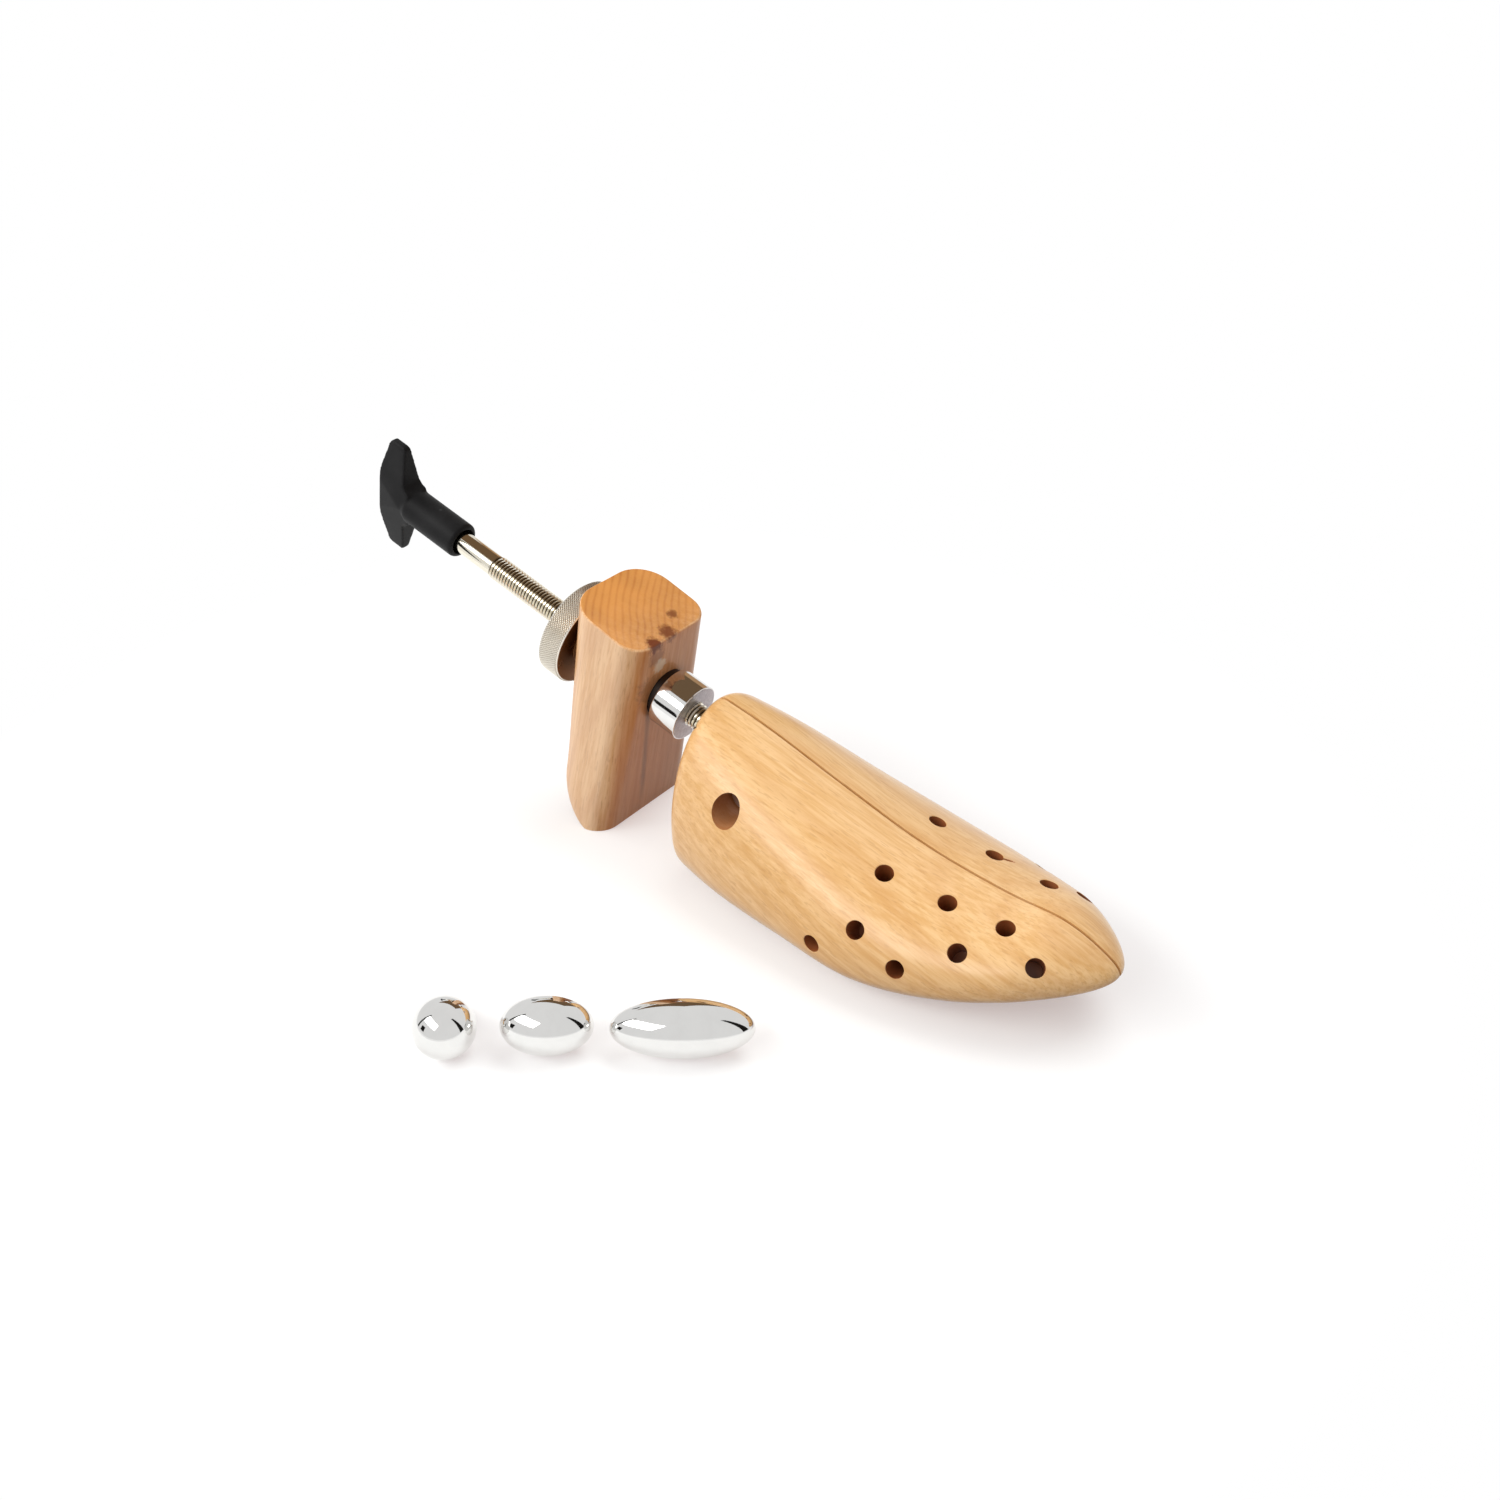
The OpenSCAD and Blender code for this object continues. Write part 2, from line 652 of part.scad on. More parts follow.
// Knurled wheel with its hub, revolved about the spindle.
module knurled_wheel() {
    hub_front = seat_front() - gap;
    back = -wheel_back - wheel_w;
    bevel = 0.9;
    outline = [[thread_d / 2 + running, back], [wheel_d / 2 - bevel, back],
               [wheel_d / 2, back + bevel], [wheel_d / 2, -wheel_back - bevel],
               [wheel_d / 2 - bevel, -wheel_back], [hub_d / 2, -wheel_back],
               [hub_d / 2, hub_front], [sleeve_d / 2, hub_front],
               [sleeve_d / 2, -sleeve_back], [thread_d / 2 + running, -sleeve_back]];
    color(steel) on_rod() rotate([0, 90, 0]) rotate_extrude($fn = fine) polygon(outline);
}
module threaded_sleeve() {
    color(steel) difference() {
        rod_round(-sleeve_back, -sleeve_front, sleeve_d);
        rod_round(-sleeve_back - 1, 1, thread_d + 2 * running);
    }
}
module ferrule() {
    edge = 0.5;
    outline = [[thread_d / 2 + running, 0], [ferrule_d / 2 - edge, 0], [ferrule_d / 2, -edge],
               [ferrule_d / 2, edge - ferrule_len], [ferrule_d / 2 - edge, -ferrule_len],
               [sleeve_d / 2, -ferrule_len], [sleeve_d / 2, -ferrule_wall],
               [thread_d / 2 + running, -ferrule_wall]];
    color(chrome) on_rod() rotate([0, 90, 0]) rotate_extrude($fn = fine) polygon(outline);
}
module seat_washer() {
    color(steel) difference() {
        rod_round(-neck - washer_seat + gap, -ferrule_len, washer_d);
        rod_round(-neck - washer_seat - 1, 1, sleeve_d);
    }
}

// Loose plugs lie on the table on the knob's edge and the peg's tip.
// Tilt of the peg for a knob of half height b and back depth c.
function plug_tilt(b, c, tip) =
    let (q = plug_peg_d / 2, k = tip ^ 2 - c ^ 2)
    atan((-tip * q + sqrt((tip * q) ^ 2 - k * (q ^ 2 - b ^ 2))) / k);
function plug_lift(b, c, tip) =
    let (t = plug_tilt(b, c, tip)) sqrt((c * sin(t)) ^ 2 + (b * cos(t)) ^ 2);
function ball_tip() = seat_ball + plug_peg_len;
function oval_tip() = seat_oval + plug_peg_len;
module place_plug(at, b, c, tip) {
    translate([at.x, at.y, plug_lift(b, c, tip)]) rotate([0, 0, plug_facing])
        rotate([0, -plug_tilt(b, c, tip), 0]) children();
}
module plug_peg(seat) {
    translate([-seat - plug_peg_len, 0, 0]) rotate([0, 90, 0])
        cylinder(d = plug_peg_d, h = plug_peg_len + plug_sink, $fn = fine);
}
// Oval knob: a rounder front and a flatter back, cut flat for the peg.
module oval_shell(length) {
    n = 40;
    rows = 14;
    ring = function (a) [for (j = [0:n - 1])
        [(a < 0 ? dome_back : dome_front) * sin(a), length / 2 * cos(a) * cos(360 * j / n),
         oval_h / 2 * cos(a) * sin(360 * j / n)]];
    body = [for (i = [1:rows - 1]) each ring(-90 + 180 * i / rows)];
    points = concat([[-dome_back, 0, 0]], body, [[dome_front, 0, 0]]);
    front = len(points) - 1;
    faces = concat(
        [for (j = [0:n - 1]) [0, 1 + (j + 1) % n, 1 + j]],
        [for (i = [0:rows - 3], j = [0:n - 1])
         let (a = 1 + i * n + j, b = 1 + i * n + (j + 1) % n)
         each [[a, b, a + n], [b, b + n, a + n]]],
        [for (j = [0:n - 1]) [front, front - n + j, front - n + (j + 1) % n]]);
    polyhedron(points, faces);
}
module oval_knob(length) {
    difference() {
        oval_shell(length);
        translate([-seat_oval - big, -big / 2, -big / 2]) cube(big);
        plug_peg(seat_oval);
    }
}

module ball_plug_knob() {
    color(chrome) place_plug(ball_at, ball_d / 2, ball_d / 2, ball_tip()) difference() {
        sphere(d = ball_d, $fn = fine);
        translate([-seat_ball - big, -big / 2, -big / 2]) cube(big);
        plug_peg(seat_ball);
    }
}
module ball_plug_peg() {
    color(chrome) place_plug(ball_at, ball_d / 2, ball_d / 2, ball_tip()) plug_peg(seat_ball);
}
module oval_plug_knob() {
    color(chrome) place_plug(oval_at, oval_h / 2, dome_back, oval_tip()) oval_knob(oval_len);
}
module oval_plug_peg() {
    color(chrome) place_plug(oval_at, oval_h / 2, dome_back, oval_tip()) plug_peg(seat_oval);
}
module long_plug_knob() {
    color(chrome) place_plug(long_at, oval_h / 2, dome_back, oval_tip()) oval_knob(long_len);
}
module long_plug_peg() {
    color(chrome) place_plug(long_at, oval_h / 2, dome_back, oval_tip()) plug_peg(seat_oval);
}

last_half_left();
last_half_right();
hinge_yoke();
hinge_pin_left();
hinge_pin_right();
hinge_leaf_left();
hinge_leaf_right();
leaf_bolt_left();
leaf_bolt_right();
cam_plate_left();
cam_plate_right();
expander();
expander_peg_top();
expander_peg_bottom();
spindle();
thrust_collar();
collar_pin();
t_handle();
heel_block();
knurled_wheel();
threaded_sleeve();
ferrule();
seat_washer();
ball_plug_knob();
ball_plug_peg();
oval_plug_knob();
oval_plug_peg();
long_plug_knob();
long_plug_peg();
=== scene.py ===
"""Looks of a wooden shoe stretcher, laid out as an add-on and run as a script."""

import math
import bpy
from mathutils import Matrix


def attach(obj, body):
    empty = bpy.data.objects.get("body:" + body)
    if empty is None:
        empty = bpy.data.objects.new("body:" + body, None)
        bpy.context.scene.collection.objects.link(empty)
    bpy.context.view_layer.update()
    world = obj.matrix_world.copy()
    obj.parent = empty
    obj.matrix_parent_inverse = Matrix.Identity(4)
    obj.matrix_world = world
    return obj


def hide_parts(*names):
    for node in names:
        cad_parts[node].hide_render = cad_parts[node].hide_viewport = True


bl_info = {
    "name": "Shoe Stretcher",
    "version": (1, 0, 0),
    "blender": (4, 5, 0),
    "location": "View3D > Sidebar > Shoe Stretcher",
    "description": "Dresses the shoe stretcher with varnished beech, plated metal and a studio",
    "category": "Object",
}

import bmesh
import bpy
import numpy as np
from bpy.props import FloatProperty, FloatVectorProperty, IntProperty, PointerProperty
from mathutils import Matrix, Vector

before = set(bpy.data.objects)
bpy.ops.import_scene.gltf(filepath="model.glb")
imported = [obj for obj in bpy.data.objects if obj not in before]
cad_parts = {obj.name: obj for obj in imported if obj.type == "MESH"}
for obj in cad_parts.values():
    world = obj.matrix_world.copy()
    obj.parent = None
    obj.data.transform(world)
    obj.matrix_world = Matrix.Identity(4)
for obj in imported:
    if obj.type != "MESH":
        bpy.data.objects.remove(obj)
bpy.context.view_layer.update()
MM = 0.001

# Places and sizes of the solids, in millimetres, that the looks have to follow. Holes are given
# as (distance from the last's rear end, degrees round from its crown), plugs as (x, y).
ROD_TILT = math.radians(16.2)
ROD_HEIGHT = 55.0
FERRULE_X = 32.9506
LAST_X = 39.7506
LAST_LEN = 173.5
KERF = 1.1
SOLE_FLAT = 0.3
STATIONS = [0, 0.15, 0.35, 0.55, 0.75, 0.9, 1]
CROWNS = [69.6, 63.6, 52.7, 42.6, 37.6, 36.7, 33.7]
SOLES = [2, 0.2, 0, 0.6, 7.9, 16, 20]
HALVES = [28.7, 35.2, 39.6, 41.8, 35, 24.3, 17.5]
REAR_ROUND, REAR_POWER, TOE_ROUND, TOE_POWER = 11.7, 3.22, 29, 2.05
WIDEST_SHARE, CROWN_POWER, SOLE_POWER = 0.34, 1.95, 3.0
HOLE_R, HOLE_DEPTH, SIDE_HOLE_R = 3.3, 13.0, 5.75
RIGHT_HOLES = [(93, 28), (116.5, 25.5), (137.6, 26.5), (152.6, 54.5),
               (128.3, 53.5), (111.3, 78.5), (93.9, 63.5), (78.9, 90)]
LEFT_HOLES = [(92.6, 22), (115.9, 24.5), (137.6, 29.5), (148.5, 53),
              (128.3, 58)] + RIGHT_HOLES[5:]
CHIP_AT = (120.2, 27.2)
BOLT_AT, LEAF_IN, LEAF_OUT = 40.2, 11.3, 14.0
YOKE_BACK, EAR_IN, EAR_OUT = 8.6, 6.7, 9.2
LEAF_BACK, LEAF_FRONT = 20.0, 57.0
PLATE_BACK, PLATE_FRONT, PLATE_OUT = 58.0, 85.5, 15.5
JOURNAL_FRONT, SPINDLE_FRONT = 23.7, 91.7
THREAD_BACK, HANDLE_BACK, SHANK_SOCKET = 106.5, 125.5, 24.0
WHEEL_BACK, WHEEL_W, WHEEL_R, HUB_R, SLEEVE_R = 52.6, 10.0, 20.4, 11.0, 7.5
FERRULE_R, FERRULE_LEN, FERRULE_WALL = 11.8, 12.5, 3.5
FOOT_LEN, BLOCK_LEAN, BLOCK_H, NECK = 11.5, math.radians(12.2), 88.0, 15.0
BLOCK_TOP_LEN, BLOCK_LOW_LEN, BLOCK_TOP_W, BLOCK_FOOT_W = 35.7, 30.0, 43.0, 53.0
FRONT_CORNER, REAR_CORNER, REAR_CORNER_FOOT = 9.0, 13.5, 16.0
TOP_RISE, SEAT_DEPTH, WASHER_SEAT = math.radians(7.3), 2.8, 0.8
BARREL_R, BARREL_LEN, BAR_DEPTH, BAR_SPAN, BAR_TURN = 7.5, 29.5, 16.0, 52.6, math.radians(3.7)
BAR_ROOT_W, BAR_BACK_W, BAR_TIP_W, BAR_TIP_DEPTH, BAR_ROUND = 13.0, 10.4, 3.6, 8.6, 1.2
PEG_R, PEG_LEN, PLUG_FACING = 3.0, 12.0, math.radians(-52)
BALL_AT, OVAL_AT, LONG_AT = (45.1, -143.6), (70.0, -121.5), (105.9, -95.1)
BALL_R, OVAL_H, OVAL_LEN, LONG_LEN, DOME_FRONT, DOME_BACK = 10.55, 20.2, 31.0, 48.0, 10.0, 6.0

# Radii on the spindle, and of the ways that it and the bolts run in.
THREAD_R, SHANK_R, FRONT_R, FRONT_ROOT, FRONT_PITCH = 5.0, 4.55, 4.0, 3.3, 1.25
SLEEVE_BORE, SOCKET_R, BOLT_WAY_R, WASHER_WAY_R, GAP = 5.05, 4.58, 3.05, 10.1, 0.05

# Sizes that only the looks have.
SCREW_Z, DRILL_LIP, TOP_BEVEL, WHEEL_EDGE, KNURL_ROWS = 5.6, 0.22, 0.7, 0.75, 15
KNOB_BEVEL, BALL_SEAT, DOME_SEAT = 0.965, 0.72, 0.75
FAR, FLOOR_HALF, FLOOR_DROP = 400, 4000, 0.15

# The spindle's own frame: x along it from the ferrule's front face, y across, z square to both.
ROD = (Matrix.Translation((FERRULE_X * MM, 0, ROD_HEIGHT * MM))
       @ Matrix.Rotation(ROD_TILT, 4, "Y") @ Matrix.Scale(MM, 4))


# Shapes.
def three_point_curve(at, values, x):
    """Smooth curve through values, the same one that the solids use."""
    at, v = np.array(at, float), np.array(values, float)
    h = np.diff(at)
    d = np.diff(v) / h
    slope = np.concatenate([[d[0]], (d[:-1] * h[1:] + d[1:] * h[:-1]) / (h[:-1] + h[1:]), [d[-1]]])
    i = np.clip(np.searchsorted(at, x, "left") - 1, 0, len(h) - 1)
    u = (x - at[i]) / h[i]
    return (v[i] * (1 + 2 * u) * (1 - u) ** 2 + slope[i] * h[i] * u * (1 - u) ** 2
            + v[i + 1] * u ** 2 * (3 - 2 * u) + slope[i + 1] * h[i] * u ** 2 * (u - 1))


def closing(from_end, length, power):
    """Share of the full section that is left near an end, which closes over length."""
    return (1 - np.maximum(0, 1 - from_end / length) ** power) ** (1 / power)


def last_point(p, a):
    """Points on the left side of the last, in mm: p along it, a degrees round from the crown."""
    p, a = np.broadcast_arrays(np.asarray(p, float), np.radians(np.asarray(a, float)))
    top = three_point_curve(STATIONS, CROWNS, p)
    low = three_point_curve(STATIONS, SOLES, p) - SOLE_FLAT
    mid = low + WIDEST_SHARE * (top - low)
    cap = (closing(p * LAST_LEN, REAR_ROUND, REAR_POWER)
           * closing((1 - p) * LAST_LEN, TOE_ROUND, TOE_POWER))
    upper = a < math.pi / 2
    power = np.where(upper, CROWN_POWER, SOLE_POWER)
    rise = np.where(upper, top, low) - mid
    y = cap * three_point_curve(STATIONS, HALVES, p) * np.abs(np.sin(a)) ** (2 / power)
    z = mid + cap * rise * np.abs(np.cos(a)) ** (2 / power)
    return np.stack([LAST_X + p * LAST_LEN, y, z], -1)


def skin_at(distance, angle):
    """A point of the left side, distance in mm from the rear end, and the normal there."""
    p = distance / LAST_LEN
    across = last_point(p, angle + 1) - last_point(p, angle - 1)
    along = last_point(p + 0.005, angle) - last_point(p - 0.005, angle)
    n = -np.cross(across, along)
    return last_point(p, angle), n / np.linalg.norm(n)


def face_outward(mesh, merge=False, fill=False):
    """Turns the faces of closed shapes outwards, after joining doubles or filling open ends."""
    bm = bmesh.new()
    bm.from_mesh(mesh)
    if merge:
        bmesh.ops.remove_doubles(bm, verts=bm.verts, dist=1e-7)
    if fill:
        bmesh.ops.holes_fill(bm, edges=[e for e in bm.edges if e.is_boundary], sides=0)
    bmesh.ops.recalc_face_normals(bm, faces=bm.faces)
    bm.to_mesh(mesh)
    bm.free()


def new_piece(name, points, faces, matrix=None, closed=True):
    """A mesh object whose place is in its mesh; points are in mm unless a matrix scales them."""
    mesh = bpy.data.meshes.new(name)
    mesh.from_pydata([tuple(p) for p in points], [], [tuple(int(i) for i in f) for f in faces])
    mesh.transform(matrix if matrix is not None else Matrix.Scale(MM, 4))
    if closed:
        face_outward(mesh)
    mesh.update()
    piece = bpy.data.objects.new(name, mesh)
    bpy.context.scene.collection.objects.link(piece)
    return piece


def paint_bore_shade(piece, bores):
    """Writes a face attribute that holds painted shade: how much darker the wood is painted inside
    each bore, which is given as (mouth, direction, radius, depth, share) in metres."""
    mesh = piece.data
    centres = np.empty(len(mesh.polygons) * 3)
    mesh.polygons.foreach_get("center", centres)
    centres, inside = centres.reshape(-1, 3), np.zeros(len(mesh.polygons))
    for mouth, direction, radius, depth, share in bores:
        away = centres - np.array(mouth)
        along = away @ np.array(direction)
        across = np.linalg.norm(away - along[:, None] * np.array(direction), axis=1)
        hit = (across < radius * 1.001) & (along < -0.0004) & (along > -depth * 1.05)
        inside[hit] = np.maximum(inside[hit], share)
    mesh.attributes.new("bore_shade", "FLOAT", "FACE").data.foreach_set("value", inside)


def smooth(piece, degrees=32):
    """Smooth shading with sharp edges past the angle."""
    mesh = piece.data
    mesh.polygons.foreach_set("use_smooth", [True] * len(mesh.polygons))
    mesh.set_sharp_from_angle(angle=math.radians(degrees))
    mesh.update()
    return piece


def settle(piece):
    """Turns the piece's modifiers into plain mesh."""
    bpy.context.view_layer.update()
    depsgraph = bpy.context.evaluated_depsgraph_get()
    mesh = bpy.data.meshes.new_from_object(piece.evaluated_get(depsgraph))
    piece.modifiers.clear()
    old, name = piece.data, piece.data.name
    piece.data = mesh
    bpy.data.meshes.remove(old)
    mesh.name = name
    return piece


def volume(piece):
    """Volume of a closed piece in cubic metres."""
    bm = bmesh.new()
    bm.from_mesh(piece.data)
    found = bm.calc_volume(signed=True)
    bm.free()
    return found


def carve(piece, cutters, operation="DIFFERENCE"):
    """Cuts closed shapes out of a piece, or adds them to it, and removes them."""
    before = volume(piece)
    for cutter in cutters:
        step = piece.modifiers.new("carve", "BOOLEAN")
        step.operation, step.object, step.solver = operation, cutter, "MANIFOLD"
    settle(piece)
    for cutter in cutters:
        bpy.data.objects.remove(cutter)
    if not abs(volume(piece) - before) > 1e-13:
        raise RuntimeError(f"nothing was carved on {piece.name}")
    return piece


def lathe(name, outline, matrix=ROD, segments=128):
    """Turned solid about x; outline is [(x, radius), ...] from its back to its front, closed at
    the axis where the radius is 0, or closed on itself where the piece has a bore."""
    bore = outline[0][1] > 0 and outline[-1][1] > 0
    points, rows = [], []
    for x, r in outline:
        if r <= 0:
            rows.append([len(points)] * segments)
            points.append((x, 0, 0))
        else:
            rows.append([len(points) + i for i in range(segments)])
            points += [(x, r * math.sin(2 * math.pi * i / segments),
                        r * math.cos(2 * math.pi * i / segments)) for i in range(segments)]
    faces = []
    for a, b in zip(rows, rows[1:] + rows[:1] if bore else rows[1:]):
        for i in range(segments):
            j = (i + 1) % segments
            quad = list(dict.fromkeys([a[i], b[i], b[j], a[j]]))
            if len(quad) > 2:
                faces.append(quad)
    return new_piece(name, points, faces, matrix)


def rounded(outline, radius, steps=5):
    """The outline with its corners turned into small arcs; the two ends on the axis stay."""
    closed = outline[0][1] > 0 and outline[-1][1] > 0
    made, n = [], len(outline)
    for i, corner in enumerate(outline):
        if not closed and i in (0, n - 1):
            made.append(corner)
            continue
        c = np.array(corner, float)
        a, b = np.array(outline[i - 1], float) - c, np.array(outline[(i + 1) % n], float) - c
        la, lb = np.linalg.norm(a), np.linalg.norm(b)
        r = min(radius, la * 0.45, lb * 0.45)
        p, q = c + a / la * r, c + b / lb * r
        for k in range(steps + 1):
            t = k / steps
            made.append(tuple((1 - t) ** 2 * p + 2 * t * (1 - t) * c + t ** 2 * q))
    return made


def peg_shape(name, place, direction, depth, radius, lip=0.0, above=8.0):
    """A drill standing in a surface, with a slightly wider lip at the surface."""
    outline = [(-depth, 0), (-depth, radius), (-lip, radius), (lip * 0.6, radius + lip * 1.6),
               (above, radius + lip * 1.6), (above, 0)]
    turn = Vector((1, 0, 0)).rotation_difference(Vector(direction)).to_matrix().to_4x4()
    matrix = Matrix.Scale(MM, 4) @ Matrix.Translation(Vector(place)) @ turn
    return lathe(name, outline, matrix, 48)


def block_shape(name, low, high, matrix=None):
    """A plain box between two corners."""
    (x0, y0, z0), (x1, y1, z1) = low, high
    points = [(x, y, z) for x in (x0, x1) for y in (y0, y1) for z in (z0, z1)]
    faces = [(0, 1, 3, 2), (4, 6, 7, 5), (0, 4, 5, 1), (2, 3, 7, 6), (0, 2, 6, 4), (1, 5, 7, 3)]
    return new_piece(name, points, faces, matrix)


def extrusion(name, outline, z0, z1, matrix=None):
    """A flat outline given anticlockwise, pulled from z0 to z1."""
    n = len(outline)
    points = [(x, y, z) for z in (z0, z1) for x, y in outline]
    faces = [tuple(range(n))[::-1], tuple(range(n, 2 * n))]
    faces += [(i, (i + 1) % n, n + (i + 1) % n, n + i) for i in range(n)]
    return new_piece(name, points, faces, matrix)


# Node trees.
class Wire:
    """One socket of a node tree; arithmetic on it adds Math nodes."""

    def __init__(self, graph, socket):
        self.graph, self.socket = graph, socket

    def maths(self, operation, *others):
        return self.graph.node("ShaderNodeMath", {"operation": operation},
                               dict(enumerate((self, *others))))

    def __add__(self, o): return self.maths("ADD", o)
    __radd__ = __add__
    def __mul__(self, o): return self.maths("MULTIPLY", o)
    __rmul__ = __mul__
    def __sub__(self, o): return self.maths("SUBTRACT", o)
    def __rsub__(self, o): return self.graph.number("SUBTRACT", o, self)
    def __truediv__(self, o): return self.maths("DIVIDE", o)
    def __pow__(self, o): return self.maths("POWER", o)
    def __gt__(self, o): return self.maths("GREATER_THAN", o)
    def __lt__(self, o): return self.maths("LESS_THAN", o)
    def __mod__(self, o): return self.maths("FLOORED_MODULO", o)
    def sin(self): return self.maths("SINE")
    def cos(self): return self.maths("COSINE")
    def floor(self): return self.maths("FLOOR")
    def root(self): return self.maths("SQRT")
    def size(self): return self.maths("ABSOLUTE")
    def least(self, o): return self.maths("MINIMUM", o)
    def most(self, o): return self.maths("MAXIMUM", o)

    def between(self, low, high):
        """0 at low, 1 at high, smoothly and clamped."""
        return self.graph.node("ShaderNodeMapRange", {"interpolation_type": "SMOOTHSTEP"},
                               {"Value": self, "From Min": low, "From Max": high})

    def parts(self):
        node = self.graph.node("ShaderNodeSeparateXYZ", {}, {0: self})
        return [Wire(self.graph, s) for s in node.socket.node.outputs[:3]]


class Graph:
    """A node tree with methods that add nodes."""

    def __init__(self, tree):
        self.tree = tree

    def node(self, kind, settings=None, inputs=None, output=0):
        made = self.tree.nodes.new(kind)
        for key, value in (settings or {}).items():
            setattr(made, key, value)
        for key, value in (inputs or {}).items():
            if isinstance(value, Wire):
                self.tree.links.new(value.socket, made.inputs[key])
            else:
                made.inputs[key].default_value = value
        return Wire(self, made.outputs[output]) if made.outputs else None

    def number(self, operation, a, b):
        return self.node("ShaderNodeMath", {"operation": operation}, {0: a, 1: b})

    def vector(self, x=0.0, y=0.0, z=0.0):
        return self.node("ShaderNodeCombineXYZ", {}, {0: x, 1: y, 2: z})

    def ray(self, kind):
        """1 for light paths of this kind, 0 for others."""
        return self.node("ShaderNodeLightPath", {}, {}, f"Is {kind} Ray")

    def glow(self, colour):
        return self.node("ShaderNodeEmission", {}, {"Color": (*colour, 1), "Strength": 1.0})

    def matt(self, colour):
        return self.node("ShaderNodeBsdfDiffuse", {}, {"Color": (*colour, 1)})

    def either(self, factor, a, b):
        return self.node("ShaderNodeMixShader", {}, {0: factor, 1: a, 2: b})


class Finish(Graph):
    """A material: a Principled surface fed by the wires given to it."""

    def __init__(self, name):
        self.material = bpy.data.materials.new(name)
        self.material.use_nodes = True
        super().__init__(self.material.node_tree)
        self.tree.nodes.clear()
        self.place = self.node("ShaderNodeTexCoord", {}, {}, "Object")

    def mapped(self, location, rotation=(0, 0, 0)):
        return self.node("ShaderNodeMapping", {"vector_type": "TEXTURE"},
                         {"Vector": self.place, "Location": location, "Rotation": rotation})

    def stretched(self, vector, scale):
        return self.node("ShaderNodeVectorMath", {"operation": "MULTIPLY"}, {0: vector, 1: scale})

    def noise(self, vector, scale, detail=2.0, roughness=0.5):
        return self.node("ShaderNodeTexNoise", {"noise_dimensions": "3D"},
                         {"Vector": vector, "Scale": scale, "Detail": detail,
                          "Roughness": roughness})

    def grain(self, vector, scale, detail, roughness):
        """Noise drawn out along the first axis."""
        return self.noise(self.stretched(vector, scale), 1.0, detail, roughness)

    def facing(self, direction):
        """Cosine of the angle between the surface's normal and a direction."""
        normal = self.node("ShaderNodeTexCoord", {}, {}, "Normal")
        return self.node("ShaderNodeVectorMath", {"operation": "DOT_PRODUCT"},
                         {0: normal, 1: direction}, "Value")

    def mix(self, factor, a, b):
        return self.node("ShaderNodeMix", {"data_type": "RGBA", "blend_type": "MIX"},
                         {0: factor, 6: a if isinstance(a, Wire) else (*a, 1),
                          7: b if isinstance(b, Wire) else (*b, 1)}, 2)

    def bump(self, height, strength, distance):
        return self.node("ShaderNodeBump", {}, {"Height": height, "Strength": strength,
                                                "Distance": distance})

    def ends(self, surface):
        self.node("ShaderNodeOutputMaterial", {}, {"Surface": surface})
        return self.material

    def surface(self, **values):
        return self.ends(self.node("ShaderNodeBsdfPrincipled", {},
                                   {key.replace("_", " ").title().replace("Ior", "IOR"): value
                                    for key, value in values.items()}))


# Painted shade: the wood inside bores is mixed toward this dark brown.
PAINTED_BORE_SHADE = (0.27, 0.062, 0.013)


def wood(name, settings, grain, centre, ring, coat, end_grain=None, stains_and_painted_light=()):
    """Varnished beech. grain turns the pattern's long axis; centre is the heart of the rings."""
    look = Finish(name)
    along = look.mapped(centre, grain)
    wander = look.grain(along, (5, 22, 22), 3.0, 0.55)
    u, v, w = along.parts()
    spread = ((v * v + w * w).root() + (wander - 0.5) * (ring * 2.4)) / ring
    rings = ((spread * (2 * math.pi)).sin() * 0.5 + 0.5) ** 2.4
    broad = look.grain(along, (14, 210, 210), 3.0, 0.6)
    streak = look.grain(along, (45, 900, 900), 4.0, 0.62)
    fleck = look.grain(along, (170, 1500, 1500), 2.0, 0.5)
    drift = look.grain(along, (12, 26, 26), 3.0, 0.55)
    pale, tan, dark, brown = (tuple(c) for c in (settings.pale, settings.tan, settings.dark,
                                                 settings.fleck))
    colour = look.mix((streak * 0.6 + broad * 0.4).between(0.36, 0.62), tan, pale)
    for share, strength, tone in ((rings, settings.ring_strength, dark),
                                  (drift.between(0.46, 0.80), settings.drift_strength, dark),
                                  (fleck.between(0.56, 0.68), settings.fleck_strength, brown)):
        colour = look.mix(share * strength, colour, tone)
    rough = 0.36 + (streak - 0.5) * 0.2
    if end_grain is not None:
        colour, rough = end_grain(look, colour, rough)
    # Spots of colour: real stains, and also painted shade and painted highlights that callers give.
    for spot, reach, tone, strength in stains_and_painted_light:
        offset = look.node("ShaderNodeVectorMath", {"operation": "DISTANCE"},
                           {0: look.place, 1: spot}, "Value")
        blot = look.noise(look.place, 520.0, 3.0, 0.6)
        mask = 1 - (offset / reach + (blot - 0.5) * 1.1).between(0.35, 0.9)
        colour = look.mix(mask * strength, colour, tone)
    # Painted shade inside bores: darker colour and higher roughness there.
    bore_shade = look.node("ShaderNodeAttribute", {"attribute_name": "bore_shade"}, {}, "Fac")
    colour = look.mix(bore_shade * 0.92, colour, PAINTED_BORE_SHADE)
    relief = look.bump(streak + fleck * 0.6, 0.10, 0.00025)
    return look.surface(base_color=colour, roughness=rough + bore_shade * 0.3, normal=relief,
                        coat_weight=coat, coat_roughness=0.24, specular_ior_level=0.35)


